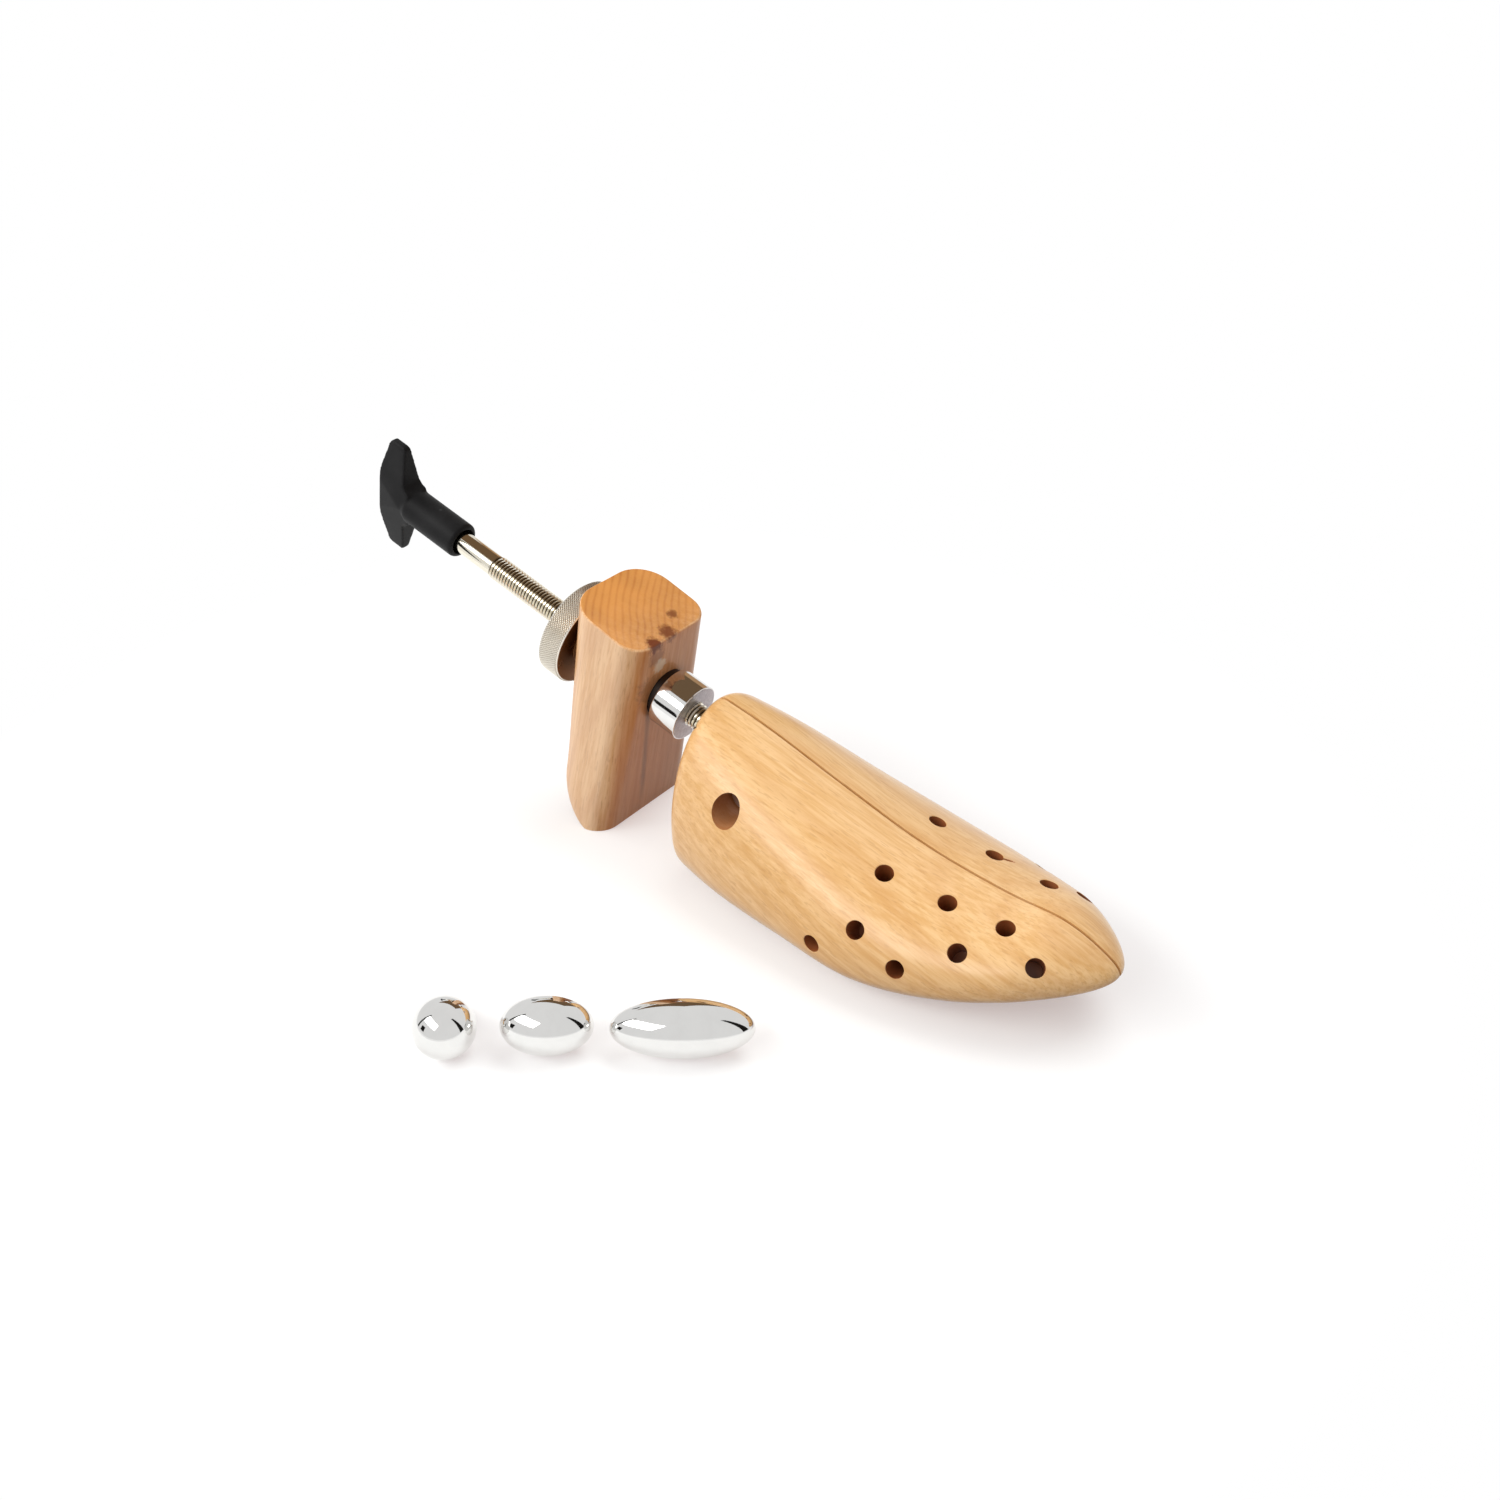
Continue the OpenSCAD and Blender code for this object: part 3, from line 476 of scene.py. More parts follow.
def metal(name, colour, rough, turned=0.0, spots=0.25, valley=None, mask=None):
    """Plated metal. turned gives fine lathe lines. valley is (low, high, tone): below these radii
    about the spindle the plate is darker, down to that tone. mask may change the tone and
    roughness in places."""
    look = Finish(name)
    rod = look.mapped((FERRULE_X * MM, 0, ROD_HEIGHT * MM), (0, ROD_TILT, 0))
    x, y, z = rod.parts()
    radius = (y * y + z * z).root() * 1000
    haze = look.noise(look.place, 160.0, 3.0, 0.6)
    speck = look.noise(look.place, 2200.0, 2.0, 0.5)
    tone = look.mix(haze.between(0.35, 0.7) * spots, colour, tuple(c * 0.8 for c in colour))
    roughness = rough + (haze - 0.5) * (rough * 0.7)
    if valley:
        low, high, low_tone = valley
        deep = 1 - radius.between(low, high)
        tone = look.mix(deep, tone, low_tone)
        roughness = roughness + deep * 0.25
    height = speck * 0.3
    if turned:
        lines = look.node("ShaderNodeTexNoise", {"noise_dimensions": "1D"},
                          {"W": x * 5200, "Scale": 1.0, "Detail": 2.0})
        height = height + lines * turned
        roughness = roughness + (lines - 0.5) * 0.10
    if mask:
        tone, roughness = mask(look, tone, roughness, x * 1000, radius)
    relief = look.bump(height, 0.08, 0.00008)
    return look.surface(base_color=tone, roughness=roughness, metallic=1.0, normal=relief)


def moulded(name, colour, rough):
    """Matte moulded plastic with a fine eroded texture, paler on its sharpest edges."""
    look = Finish(name)
    grit = look.noise(look.place, 2600.0, 2.0, 0.6)
    flow = look.noise(look.place, 70.0, 3.0, 0.55)
    pointy = look.node("ShaderNodeNewGeometry", {}, {}, "Pointiness")
    edge_pale = pointy.between(0.52, 0.62) * 0.5
    tone = look.mix(flow.between(0.35, 0.75), colour, tuple(c * 1.5 + 0.002 for c in colour))
    tone = look.mix(edge_pale, tone, tuple(c * 3 + 0.02 for c in colour))
    relief = look.bump(grit, 0.22, 0.00012)
    return look.surface(base_color=tone, roughness=rough + (grit - 0.5) * 0.18, normal=relief,
                        specular_ior_level=0.12)


# Geometry node trees.
class Tree(Graph):
    """A Geometry Nodes tree with named inputs, given as (label, kind of socket, value)."""

    def __init__(self, name, inputs):
        group = bpy.data.node_groups.new(name, "GeometryNodeTree")
        super().__init__(group)
        group.interface.new_socket("Geometry", in_out="OUTPUT", socket_type="NodeSocketGeometry")
        self.names = {}
        for label, kind, value in inputs:
            socket = group.interface.new_socket(label, in_out="INPUT",
                                                socket_type=f"NodeSocket{kind}")
            if value is not None:
                socket.default_value = value
            self.names[label] = socket.identifier
        entry = group.nodes.new("NodeGroupInput")
        self.inputs = {s.name: Wire(self, s) for s in entry.outputs if s.name}

    def ends(self, geometry, material):
        """Adds Realize Instances, Set Material and the group's output."""
        real = self.node("GeometryNodeRealizeInstances", {}, {0: geometry})
        painted = self.node("GeometryNodeSetMaterial", {}, {"Geometry": real, "Material": material})
        out = self.tree.nodes.new("NodeGroupOutput")
        self.tree.links.new(painted.socket, out.inputs[0])

    def raised(self, geometry, height):
        return self.node("GeometryNodeTransform", {},
                         {"Geometry": geometry, "Translation": self.vector(z=height)})

    def spread(self, points, instance, outward):
        """The instance on each point, with its z axis turned outward."""
        facing = self.node("FunctionNodeAlignRotationToVector", {"axis": "Z"}, {"Vector": outward})
        return self.node("GeometryNodeInstanceOnPoints", {},
                         {"Points": points, "Instance": instance, "Rotation": facing})

    def make(self, name, values, matrix):
        """A plain mesh object from the tree with these values."""
        piece = bpy.data.objects.new(name, bpy.data.meshes.new(name))
        bpy.context.scene.collection.objects.link(piece)
        step = piece.modifiers.new("made", "NODES")
        step.node_group = self.tree
        for label, value in values.items():
            step[self.names[label]] = value
        settle(piece)
        if not piece.data.polygons:
            raise RuntimeError(f"{name} came out empty")
        piece.data.transform(matrix)
        piece.data.update()
        return piece


def thread_tree():
    """Screw thread: a grid wound round x whose rows follow the helix, four to a turn."""
    tree = Tree("screw_thread", [("Start", "Float", 0.0), ("End", "Float", 50.0),
                                 ("Pitch", "Float", 1.5), ("Root Radius", "Float", 4.1),
                                 ("Crest Radius", "Float", 5.0), ("Sides", "Int", 40),
                                 ("Material", "Material", None)])
    i = tree.inputs
    turns = ((i["End"] - i["Start"]) / i["Pitch"]).floor()
    rows, sides = turns * 4 + 1, i["Sides"] + 1
    grid = tree.node("GeometryNodeMeshGrid", {}, {"Vertices X": rows, "Vertices Y": sides})
    index = tree.node("GeometryNodeInputIndex")
    row, side = (index / sides + 0.0001).floor(), index % sides
    phase = row % 4
    second, third = (phase > 1.5) * (phase < 2.5), phase > 2.5
    flank = second * 0.0625 - third * 0.0625
    across = (row / 4 + 0.0001).floor() + phase * 0.25 + flank
    share = side / i["Sides"]
    x = i["Start"] + (across + share - 0.5) * i["Pitch"]
    x = x.most(i["Start"]).least(i["End"])
    crest = phase > 1.5
    for inside in (x - i["Start"], i["End"] - x):
        crest = crest * (inside / i["Pitch"]).between(0.0, 0.8)
    radius = i["Root Radius"] + (i["Crest Radius"] - i["Root Radius"]) * crest
    turn = share * (2 * math.pi)
    place = tree.vector(x, radius * turn.sin(), radius * turn.cos())
    wound = tree.node("GeometryNodeSetPosition", {}, {"Geometry": grid, "Position": place})
    joined = tree.node("GeometryNodeMergeByDistance", {}, {"Geometry": wound, "Distance": 0.002})
    smoothed = tree.node("GeometryNodeSetShadeSmooth", {},
                         {"Geometry": joined, "Shade Smooth": True})
    tree.ends(smoothed, i["Material"])
    return tree


def knurl_tree():
    """Diamond knurl: blunt four-sided points in staggered rows round x."""
    tree = Tree("diamond_knurl", [("Radius", "Float", 20.4), ("Back", "Float", 0.0),
                                  ("Width", "Float", 8.0), ("Around", "Int", 110),
                                  ("Rows", "Int", 14), ("Height", "Float", 0.35),
                                  ("Material", "Material", None)])
    i = tree.inputs
    line = tree.node("GeometryNodeMeshLine", {}, {"Count": i["Around"] * i["Rows"]})
    points = tree.node("GeometryNodeMeshToPoints", {}, {"Mesh": line})
    index = tree.node("GeometryNodeInputIndex")
    row, step = (index / i["Around"] + 0.0001).floor(), index % i["Around"]
    turn = (step + (row % 2) * 0.5) * (2 * math.pi) / i["Around"]
    x = i["Back"] + i["Width"] * (row + 0.5) / i["Rows"]
    outward = tree.vector(0.0, turn.sin(), turn.cos())
    seat = i["Radius"] - i["Height"]
    place = tree.vector(x, seat * turn.sin(), seat * turn.cos())
    moved = tree.node("GeometryNodeSetPosition", {}, {"Geometry": points, "Position": place})
    pitch = i["Radius"] * (2 * math.pi) / i["Around"]
    point = tree.node("GeometryNodeMeshCone", {"fill_type": "NGON"},
                      {"Vertices": 4, "Side Segments": 1, "Radius Top": pitch * 0.09,
                       "Radius Bottom": pitch * 0.56, "Depth": i["Height"]})
    tree.ends(tree.spread(moved, point, outward), i["Material"])
    return tree


def screw_tree():
    """Small pan-head screws with a cross recess on a row of places; Facing turns their heads."""
    tree = Tree("wood_screws", [("From", "Vector", (0, 0, 0)), ("To", "Vector", (1, 0, 0)),
                                ("Count", "Int", 2), ("Head Radius", "Float", 2.0),
                                ("Head Height", "Float", 1.0), ("Facing", "Float", 1.0),
                                ("Material", "Material", None)])
    i = tree.inputs
    radius, height = i["Head Radius"], i["Head Height"]
    line = tree.node("GeometryNodeMeshLine", {"mode": "END_POINTS"},
                     {"Count": i["Count"], "Start Location": i["From"], "Offset": i["To"]})
    head = tree.node("GeometryNodeMeshCylinder", {},
                     {"Vertices": 20, "Radius": radius, "Depth": height})
    dome = tree.node("GeometryNodeMeshCone", {"fill_type": "NGON"},
                     {"Vertices": 20, "Radius Top": radius * 0.6, "Radius Bottom": radius,
                      "Depth": height * 0.5})
    dome = tree.raised(dome, height * 0.5)
    cross = []
    for long, short in ((1.1, 0.28), (0.28, 1.1)):
        bar = tree.node("GeometryNodeMeshCube", {},
                        {"Size": tree.vector(radius * long, radius * short, radius)})
        cross.append(tree.raised(bar, height + radius * 0.5 - 0.35))
    whole = tree.node("GeometryNodeMeshBoolean", {"operation": "UNION", "solver": "EXACT"},
                      {1: head})
    tree.tree.links.new(dome.socket, whole.socket.node.inputs[1])
    slotted = tree.node("GeometryNodeMeshBoolean",
                        {"operation": "DIFFERENCE", "solver": "EXACT"}, {0: whole, 1: cross[0]})
    tree.tree.links.new(cross[1].socket, slotted.socket.node.inputs[1])
    outward = tree.vector(y=i["Facing"] * -1)
    tree.ends(tree.spread(line, slotted, outward), i["Material"])
    return tree


# Settings.
def colour_property(name, description, default):
    return FloatVectorProperty(name=name, description=description, default=default, subtype="COLOR",
                               size=3, min=0.0, max=1.0)

def share_property(name, description, default):
    return FloatProperty(name=name, description=description, default=default, min=0, max=1,
                         subtype="FACTOR")


def size_property(name, description, default, low, high):
    return FloatProperty(name=name, description=f"{description} in mm", default=default, min=low,
                         max=high)


class BeechSettings(bpy.types.PropertyGroup):
    pale: colour_property("Pale wood", "Colour of the early wood", (0.83, 0.53, 0.25))
    tan: colour_property("Tan wood", "Colour of the middle wood", (0.71, 0.395, 0.14))
    dark: colour_property("Late wood", "Colour of the growth lines", (0.60, 0.29, 0.09))
    fleck: colour_property("Fleck", "Colour of the short ray flecks", (0.55, 0.27, 0.09))
    fleck_strength: share_property("Fleck strength", "How strongly the flecks show", 0.40)
    ring_strength: share_property("Ring strength", "How strongly the growth lines show", 0.26)
    drift_strength: share_property("Drift strength", "How strongly broad dark places show", 0.30)


class HeelSettings(bpy.types.PropertyGroup):
    pale: colour_property("Pale wood", "Colour of the early wood", (0.81, 0.505, 0.265))
    tan: colour_property("Tan wood", "Colour of the middle wood", (0.65, 0.32, 0.115))
    dark: colour_property("Late wood", "Colour of the growth lines", (0.47, 0.17, 0.05))
    fleck: colour_property("Fleck", "Colour of the short ray flecks", (0.42, 0.165, 0.055))
    end: colour_property("End grain", "Colour of the end grain on top", (0.64, 0.27, 0.06))
    end_dark: colour_property("End grain lines", "Colour of the rings on top",
                              (0.46, 0.155, 0.028))
    stain: colour_property("Stain", "Colour of the dark patches on the top's front edge",
                           (0.15, 0.027, 0.005))
    fleck_strength: share_property("Fleck strength", "How strongly the flecks show", 0.36)
    ring_strength: share_property("Ring strength", "How strongly the growth lines show", 0.30)
    drift_strength: share_property("Drift strength", "How strongly broad dark places show", 0.42)


class MetalSettings(bpy.types.PropertyGroup):
    nickel: colour_property("Nickel", "Colour of the spindle's plate", (0.84, 0.79, 0.67))
    satin: colour_property("Satin nickel", "Colour of the knurled wheel", (0.84, 0.79, 0.70))
    chrome: colour_property("Polished plate", "Colour of the ferrule and plugs",
                            (0.80, 0.795, 0.78))
    steel: colour_property("Zinc plate", "Colour of the inner steel", (0.60, 0.60, 0.60))
    pitch: size_property("Thread pitch", "Pitch of the long thread", 1.5, 0.8, 2.5)
    thread_depth: size_property("Thread depth", "Depth of the thread", 0.78, 0.2, 1.2)
    knurl_height: size_property("Knurl height", "Height of the knurl's points", 0.34, 0.1, 0.6)
    knurl_around: IntProperty(name="Knurl count", description="Points in one row round the wheel",
                              default=112, min=40, max=200)


class HandleSettings(bpy.types.PropertyGroup):
    black: colour_property("Plastic", "Colour of the moulded handle", (0.0085, 0.0085, 0.009))
    roughness: share_property("Roughness", "Roughness of the plastic", 0.5)
    cell: size_property("Cell", "Size of the remeshed faces", 0.5, 0.3, 1.5)


class StudioSettings(bpy.types.PropertyGroup):
    floor: colour_property("Floor", "Colour of the floor", (0.60, 0.65, 0.655))
    world: FloatProperty(name="Sky", description="Strength of the even light from all sides",
                         default=0.42, min=0, max=2)
    window: FloatProperty(name="Window", description="Power of the large soft light in W",
                          default=5.0, min=0, max=100, unit="POWER")
    lens: size_property("Lens", "Focal length of the camera", 36.0, 10, 200)



def dress(material, *nodes):
    """Gives CAD nodes a material."""
    for node in nodes:
        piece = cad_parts[node]
        if not piece.material_slots:
            piece.data.materials.append(material)
        for place in piece.material_slots:
            place.material = material


def place_piece(piece, body, slot, material, *nodes):
    """Gives a finished piece its material and body and hides the nodes it stands for. slot is not
    used.
    """
    if material is not None:
        piece.data.materials.clear()
        piece.data.materials.append(material)
    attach(piece, body)
    if nodes:
        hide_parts(*nodes)
    return piece


# Pieces.
def half_of_last(name, holes, side):
    """One half of the last. It is made as the left half, and mirrored where side is -1."""
    rows, cols = 200, 88
    p = (1 - np.cos(np.pi * np.arange(1, rows) / rows)) / 2
    a = 180 * np.arange(cols + 1) / cols
    body = last_point(p[:, None], a[None, :]).reshape(-1, 3)
    points = np.concatenate([last_point([0.0], [0.0]), body, last_point([1.0], [0.0])])
    n, tip = cols + 1, len(points) - 1
    end = tip - n
    faces = [(1 + i * n + j, 1 + (i + 1) * n + j, 2 + (i + 1) * n + j, 2 + i * n + j)
             for i in range(rows - 2) for j in range(cols)]
    faces += [(1 + i * n, 1 + i * n + cols, 1 + (i + 1) * n + cols, 1 + (i + 1) * n)
              for i in range(rows - 2)]
    faces += [(0, 1 + j, 2 + j) for j in range(cols)]
    faces += [(tip, end + j + 1, end + j) for j in range(cols)]
    faces += [(0, n, 1), (tip, end, tip - 1)]
    piece = new_piece(name, points, faces)

    low, high = sorted((side * (EAR_IN - GAP), side * (EAR_OUT + GAP)))
    pocket = [(-30, -2), (SPINDLE_FRONT + 3, -2), (SPINDLE_FRONT + 3, LEAF_IN - 0.3),
              (LEAF_FRONT + 0.3, LEAF_IN - 0.3), (LEAF_FRONT + 0.3, LEAF_OUT),
              (JOURNAL_FRONT, LEAF_OUT), (JOURNAL_FRONT, LEAF_OUT + 0.4), (-30, LEAF_OUT + 0.4)]
    across = (ROD @ Matrix.Translation((BOLT_AT, LEAF_OUT - 1, 0))
              @ Matrix.Rotation(math.pi / 2, 4, "Z"))
    bolt_way = [(0, 0), (0, BOLT_WAY_R), (3.5, BOLT_WAY_R), (3.5, SIDE_HOLE_R),
                (60, SIDE_HOLE_R), (60, 0)]
    cutters = [block_shape("kerf", (0, KERF / 2 - FAR, -FAR), (FAR, KERF / 2, FAR)),
               block_shape("sole", (0, -FAR, -FAR), (FAR, FAR, 0)),
               extrusion("pocket", pocket, -EAR_OUT - 0.5, EAR_OUT + 0.5, ROD),
               block_shape("plate_slot", (PLATE_BACK - 0.1, 0, low),
                           (PLATE_FRONT + 0.1, PLATE_OUT + 0.1, high), ROD),
               lathe("bolt_way", bolt_way, across, 96)]
    # Bores whose inside gets painted shade: the side bore for the bolt and each drilled hole.
    bores = [(ROD @ Vector((BOLT_AT, 60, 0)), (0, 1, 0), SIDE_HOLE_R * MM, 0.06, 0.8)]
    for distance, angle in holes:
        at, n = skin_at(distance, angle)
        cutters.append(peg_shape("drill", at, n, HOLE_DEPTH, HOLE_R, DRILL_LIP))
        bores.append((at * MM, n, HOLE_R * MM, HOLE_DEPTH * MM, 1.0))
    if side > 0:
        at, n = skin_at(*CHIP_AT)
        ahead = last_point(CHIP_AT[0] / LAST_LEN + 0.01, CHIP_AT[1] + 2.0) - at
        ahead = ahead - n * (ahead @ n)
        ahead /= np.linalg.norm(ahead)
        turn = Matrix([n, ahead, np.cross(n, ahead)]).transposed().to_4x4()
        matrix = (Matrix.Scale(MM, 4) @ Matrix.Translation(Vector(at)) @ turn
                  @ Matrix.Diagonal((1, 2.0, 0.5, 1)))
        wedge = [(-1.6, 0), (-1.2, 0.9), (0, 1.5), (1.5, 2.2), (1.5, 0)]
        cutters.append(lathe("chip", wedge, matrix, 24))
        # Painted shade inside the chip.
        bores.append((at * MM, n, 3.5 * MM, 2 * MM, 0.8))
    carve(piece, cutters)
    paint_bore_shade(piece, bores)
    if side < 0:
        piece.data.transform(Matrix.Scale(-1, 4, (0, 1, 0)))
        piece.data.flip_normals()
    return smooth(piece, 30)


class STRETCHER_OT_last(bpy.types.Operator):
    """Build both halves of the varnished last with their holes and the screws on its leaves"""
    bl_idname = "stretcher.last"
    bl_label = "Last"

    def execute(self, context):
        settings = context.scene.stretcher_beech
        halves = (("left", 1, LEFT_HOLES), ("right", -1, RIGHT_HOLES))
        for name, side, holes in halves:
            piece = half_of_last(f"varnished_last_{name}", holes, side)
            finish = wood(f"beech_{name}", settings,
                          (0, math.radians(17.5), math.radians(-side * 1.5)),
                          (0.05, side * 0.012, -0.045), 0.0052, 0.5)
            place_piece(piece, f"{name}_half", "beech", finish, f"last_half_{name}")
        zinc = bpy.data.materials["zinc_plate"]
        tree = screw_tree()
        for name, side, holes in halves:
            for level, z in (("low", -SCREW_Z), ("high", SCREW_Z)):
                row = {"From": (LEAF_BACK + 7, side * LEAF_IN, z),
                       "To": (LEAF_FRONT - 5, side * LEAF_IN, z),
                       "Count": 2, "Facing": float(side), "Material": zinc}
                screws = tree.make(f"leaf_screws_{name}_{level}", row, ROD)
                place_piece(smooth(screws, 30), f"{name}_half", "steel", None)
            dress(zinc, f"hinge_leaf_{name}", f"leaf_bolt_{name}", f"cam_plate_{name}",
                  f"hinge_pin_{name}")
        dress(zinc, "hinge_yoke", "expander", "expander_peg_top", "expander_peg_bottom",
              "thrust_collar", "collar_pin")
        return {"FINISHED"}


def block_len(h):
    """Length of the heel block, front to rear, at a height along its lean."""
    below, low = -FOOT_LEN * math.sin(BLOCK_LEAN), BLOCK_LOW_LEN
    r, up = low - FOOT_LEN * math.cos(BLOCK_LEAN), h - below
    if up < r:
        return low - r + math.sqrt(max(0, r ** 2 - (r - up) ** 2))
    return low + (BLOCK_TOP_LEN - low) * (up - r) / (BLOCK_H - below - r)


def block_ring(h, inset, n=20):
    """The heel block's outline at a height, with n steps round each corner."""
    length = block_len(h) - 2 * inset
    w = (BLOCK_FOOT_W + (BLOCK_TOP_W - BLOCK_FOOT_W) * h / BLOCK_H) / 2 - inset
    most = min(w, length / 2) - 0.01
    rear = REAR_CORNER_FOOT + (REAR_CORNER - REAR_CORNER_FOOT) * h / BLOCK_H
    rf, rr = min(FRONT_CORNER, most), min(rear, most)
    ring = []
    for cx, cy, r, start in ((-rf, w - rf, rf, 0), (-length + rr, w - rr, rr, 90),
                             (-length + rr, -w + rr, rr, 180), (-rf, -w + rf, rf, 270)):
        for i in range(n + 1):
            t = math.radians(start + 90 * i / n)
            x, y = cx + r * math.cos(t) - inset, cy + r * math.sin(t)
            lift = h * (1 - x * math.tan(TOP_RISE) / BLOCK_H)
            ring.append((FOOT_LEN / 2 + x * math.cos(BLOCK_LEAN) + lift * math.sin(BLOCK_LEAN), y,
                         -x * math.sin(BLOCK_LEAN) + lift * math.cos(BLOCK_LEAN)))
    return ring


def hub_seat():
    """Where the wheel's hub meets its seat, along the spindle from the ferrule."""
    height = (ROD_HEIGHT + NECK * math.sin(ROD_TILT)) / math.cos(BLOCK_LEAN)
    return -NECK - block_len(height) + SEAT_DEPTH


RING_CENTRE, RING_SPACING = (0.128, 0.093, 0), 0.0025
# Painted light on the heel block: a pale sheen on its left side, a dark reflection streak down its
# front, shade above the ferrule and a pale glint of the ferrule in the varnish. The red tints the
# front face.
PAINTED_SIDE_SHEEN, RED_FRONT, PAINTED_FRONT_REFLECTION = (0.93, 0.72, 0.52), (0.60, 0.20, 0.06), (0.17, 0.06, 0.022)
PAINTED_SHADE_ABOVE_FERRULE, PAINTED_FERRULE_GLINT = (0.20, 0.075, 0.025), (0.95, 0.84, 0.66)


def block_faces(look, colour, rough, settings):
    """Tones of the heel block's faces: end grain on top, a painted sheen on the left side, a redder
    front face, and a painted dark reflection streak down the front.
    """
    end, end_dark = tuple(settings.end), tuple(settings.end_dark)
    lean = BLOCK_LEAN - TOP_RISE
    top = look.facing((math.sin(lean), 0, math.cos(lean))).between(0.90, 0.985)
    flat = look.mapped(RING_CENTRE)
    wobble = look.noise(look.place, 30.0, 2.0, 0.5)
    x, y, z = flat.parts()
    reach = (x * x + y * y).root() + (wobble - 0.5) * 0.007
    rings = ((reach * (2 * math.pi / RING_SPACING)).sin() * 0.5 + 0.5) ** 3.0
    fine = look.noise(look.place, 1500.0, 3.0, 0.6)
    patchy = look.grain(flat, (340, 340, 60), 2.0, 0.5)
    broad = look.noise(look.place, 38.0, 2.0, 0.5)
    tone = look.mix(rings * patchy.between(0.0, 0.55), tuple(c * 0.9 for c in end), end_dark)
    tone = look.mix(fine.between(0.45, 0.75) * 0.3, tone, end_dark)
    tone = look.mix(broad.between(0.4, 0.7) * 0.4, tone, tuple(c * 1.35 for c in end))

    x, y, z = look.place.parts()
    # Painted reflection: a dark streak down the front face, where the varnish mirrors dark
    # surroundings.
    beside = (y + 0.0096 - (0.065 - z) * 0.1).size()
    streak = ((1 - beside.between(0.0003, 0.0021)) * (1 - z.between(0.052, 0.066))
              * z.between(0.002, 0.02))
    front = look.facing((math.cos(BLOCK_LEAN), 0, -math.sin(BLOCK_LEAN)))
    # Painted sheen: faces turned to the left are mixed toward a pale tone.
    side = look.facing((0, -1, 0)).between(0.75, 0.97)
    colour = look.mix(side * 0.35, colour, PAINTED_SIDE_SHEEN)
    colour = look.mix(front.between(0.6, 0.95) * 0.5, colour, RED_FRONT)
    colour = look.mix(streak * front.between(0.5, 0.9) * 0.55, colour, PAINTED_FRONT_REFLECTION)
    return look.mix(top, colour, tone), rough + top * 0.04


class STRETCHER_OT_heel_block(bpy.types.Operator):
    """Build the heel block with its seats and its end grain on top"""
    bl_idname = "stretcher.heel_block"
    bl_label = "Heel block"

    def execute(self, context):
        settings = context.scene.stretcher_heel
        below = -FOOT_LEN * math.sin(BLOCK_LEAN)
        round_r = BLOCK_LOW_LEN - FOOT_LEN * math.cos(BLOCK_LEAN)
        levels = [below + round_r * (1 - math.cos(math.radians(90 * i / 24))) for i in range(25)]
        top = BLOCK_H - TOP_BEVEL
        levels += [levels[-1] + (top - levels[-1]) * i / 24 for i in range(1, 25)]
        rings = [block_ring(h, 0) for h in levels]
        for i in range(1, 6):
            t = math.radians(90 * i / 5)
            rings.append(block_ring(top + TOP_BEVEL * math.sin(t), TOP_BEVEL * (1 - math.cos(t))))
        n = len(rings[0])
        faces = [(i * n + j, i * n + (j + 1) % n, (i + 1) * n + (j + 1) % n, (i + 1) * n + j)
                 for i in range(len(rings) - 1) for j in range(n)]
        faces += [tuple(range(n))[::-1], tuple((len(rings) - 1) * n + j for j in range(n))]
        piece = new_piece("varnished_heel_block", [q for r in rings for q in r], faces)
        face_outward(piece.data, merge=True)
        seat, washer = hub_seat(), -NECK - WASHER_SEAT
        way = [(-80, 0), (-80, HUB_R + 0.3), (seat, HUB_R + 0.3), (seat, SLEEVE_R + GAP),
               (washer, SLEEVE_R + GAP), (washer, WASHER_WAY_R), (20, WASHER_WAY_R), (20, 0)]
        carve(piece, [block_shape("table", (-200, -200, -200), (200, 200, 0)),
                      lathe("way", way, ROD, 96)])

        red = tuple(settings.stain)
        stains_and_painted_light = [((0.0166, 0.0078, 0.0887), 0.0034, red, 0.75),
                  ((0.0221, -0.0009, 0.0868), 0.0050, red, 0.85),
                  ((0.0238, -0.0099, 0.0861), 0.0052, red, 0.95),
                  ((0.0230, -0.0085, 0.0800), 0.0062, red, 0.45),
                  # Painted shade above the ferrule, and a painted glint of the ferrule in the
                  # varnish.
                  ((0.0198, -0.0095, 0.0660), 0.0095, PAINTED_SHADE_ABOVE_FERRULE, 0.5),
                  ((0.0220, -0.0059, 0.0748), 0.0046, PAINTED_FERRULE_GLINT, 0.55)]
        finish = wood("beech_heel", settings, (0, math.pi / 2 + BLOCK_LEAN, 0),
                      (-0.02, 0.055, 0.04), 0.0040, 0.18,
                      lambda *wires: block_faces(*wires, settings), stains_and_painted_light)
        place_piece(smooth(piece, 34), "heel", "heel_wood", finish, "heel_block")
        return {"FINISHED"}


# Darker tones for the thread roots and the knurl's valleys; a painted reflection for the wheel's
# inner face.
THREAD_ROOT_TONE, KNURL_VALLEY_TONE, PAINTED_HUB_REFLECTION = (0.10, 0.07, 0.035), (0.42, 0.37, 0.30), (0.17, 0.085, 0.035)
# The seat washer's near-black steel is partly its own colour and partly painted shade in the gap
# behind the ferrule.
DARK_STEEL_AND_GAP_SHADE, DULL_RAYS, PALE_RAYS = (0.055, 0.045, 0.04), (0.50, 0.47, 0.50), (0.66, 0.63, 0.66)


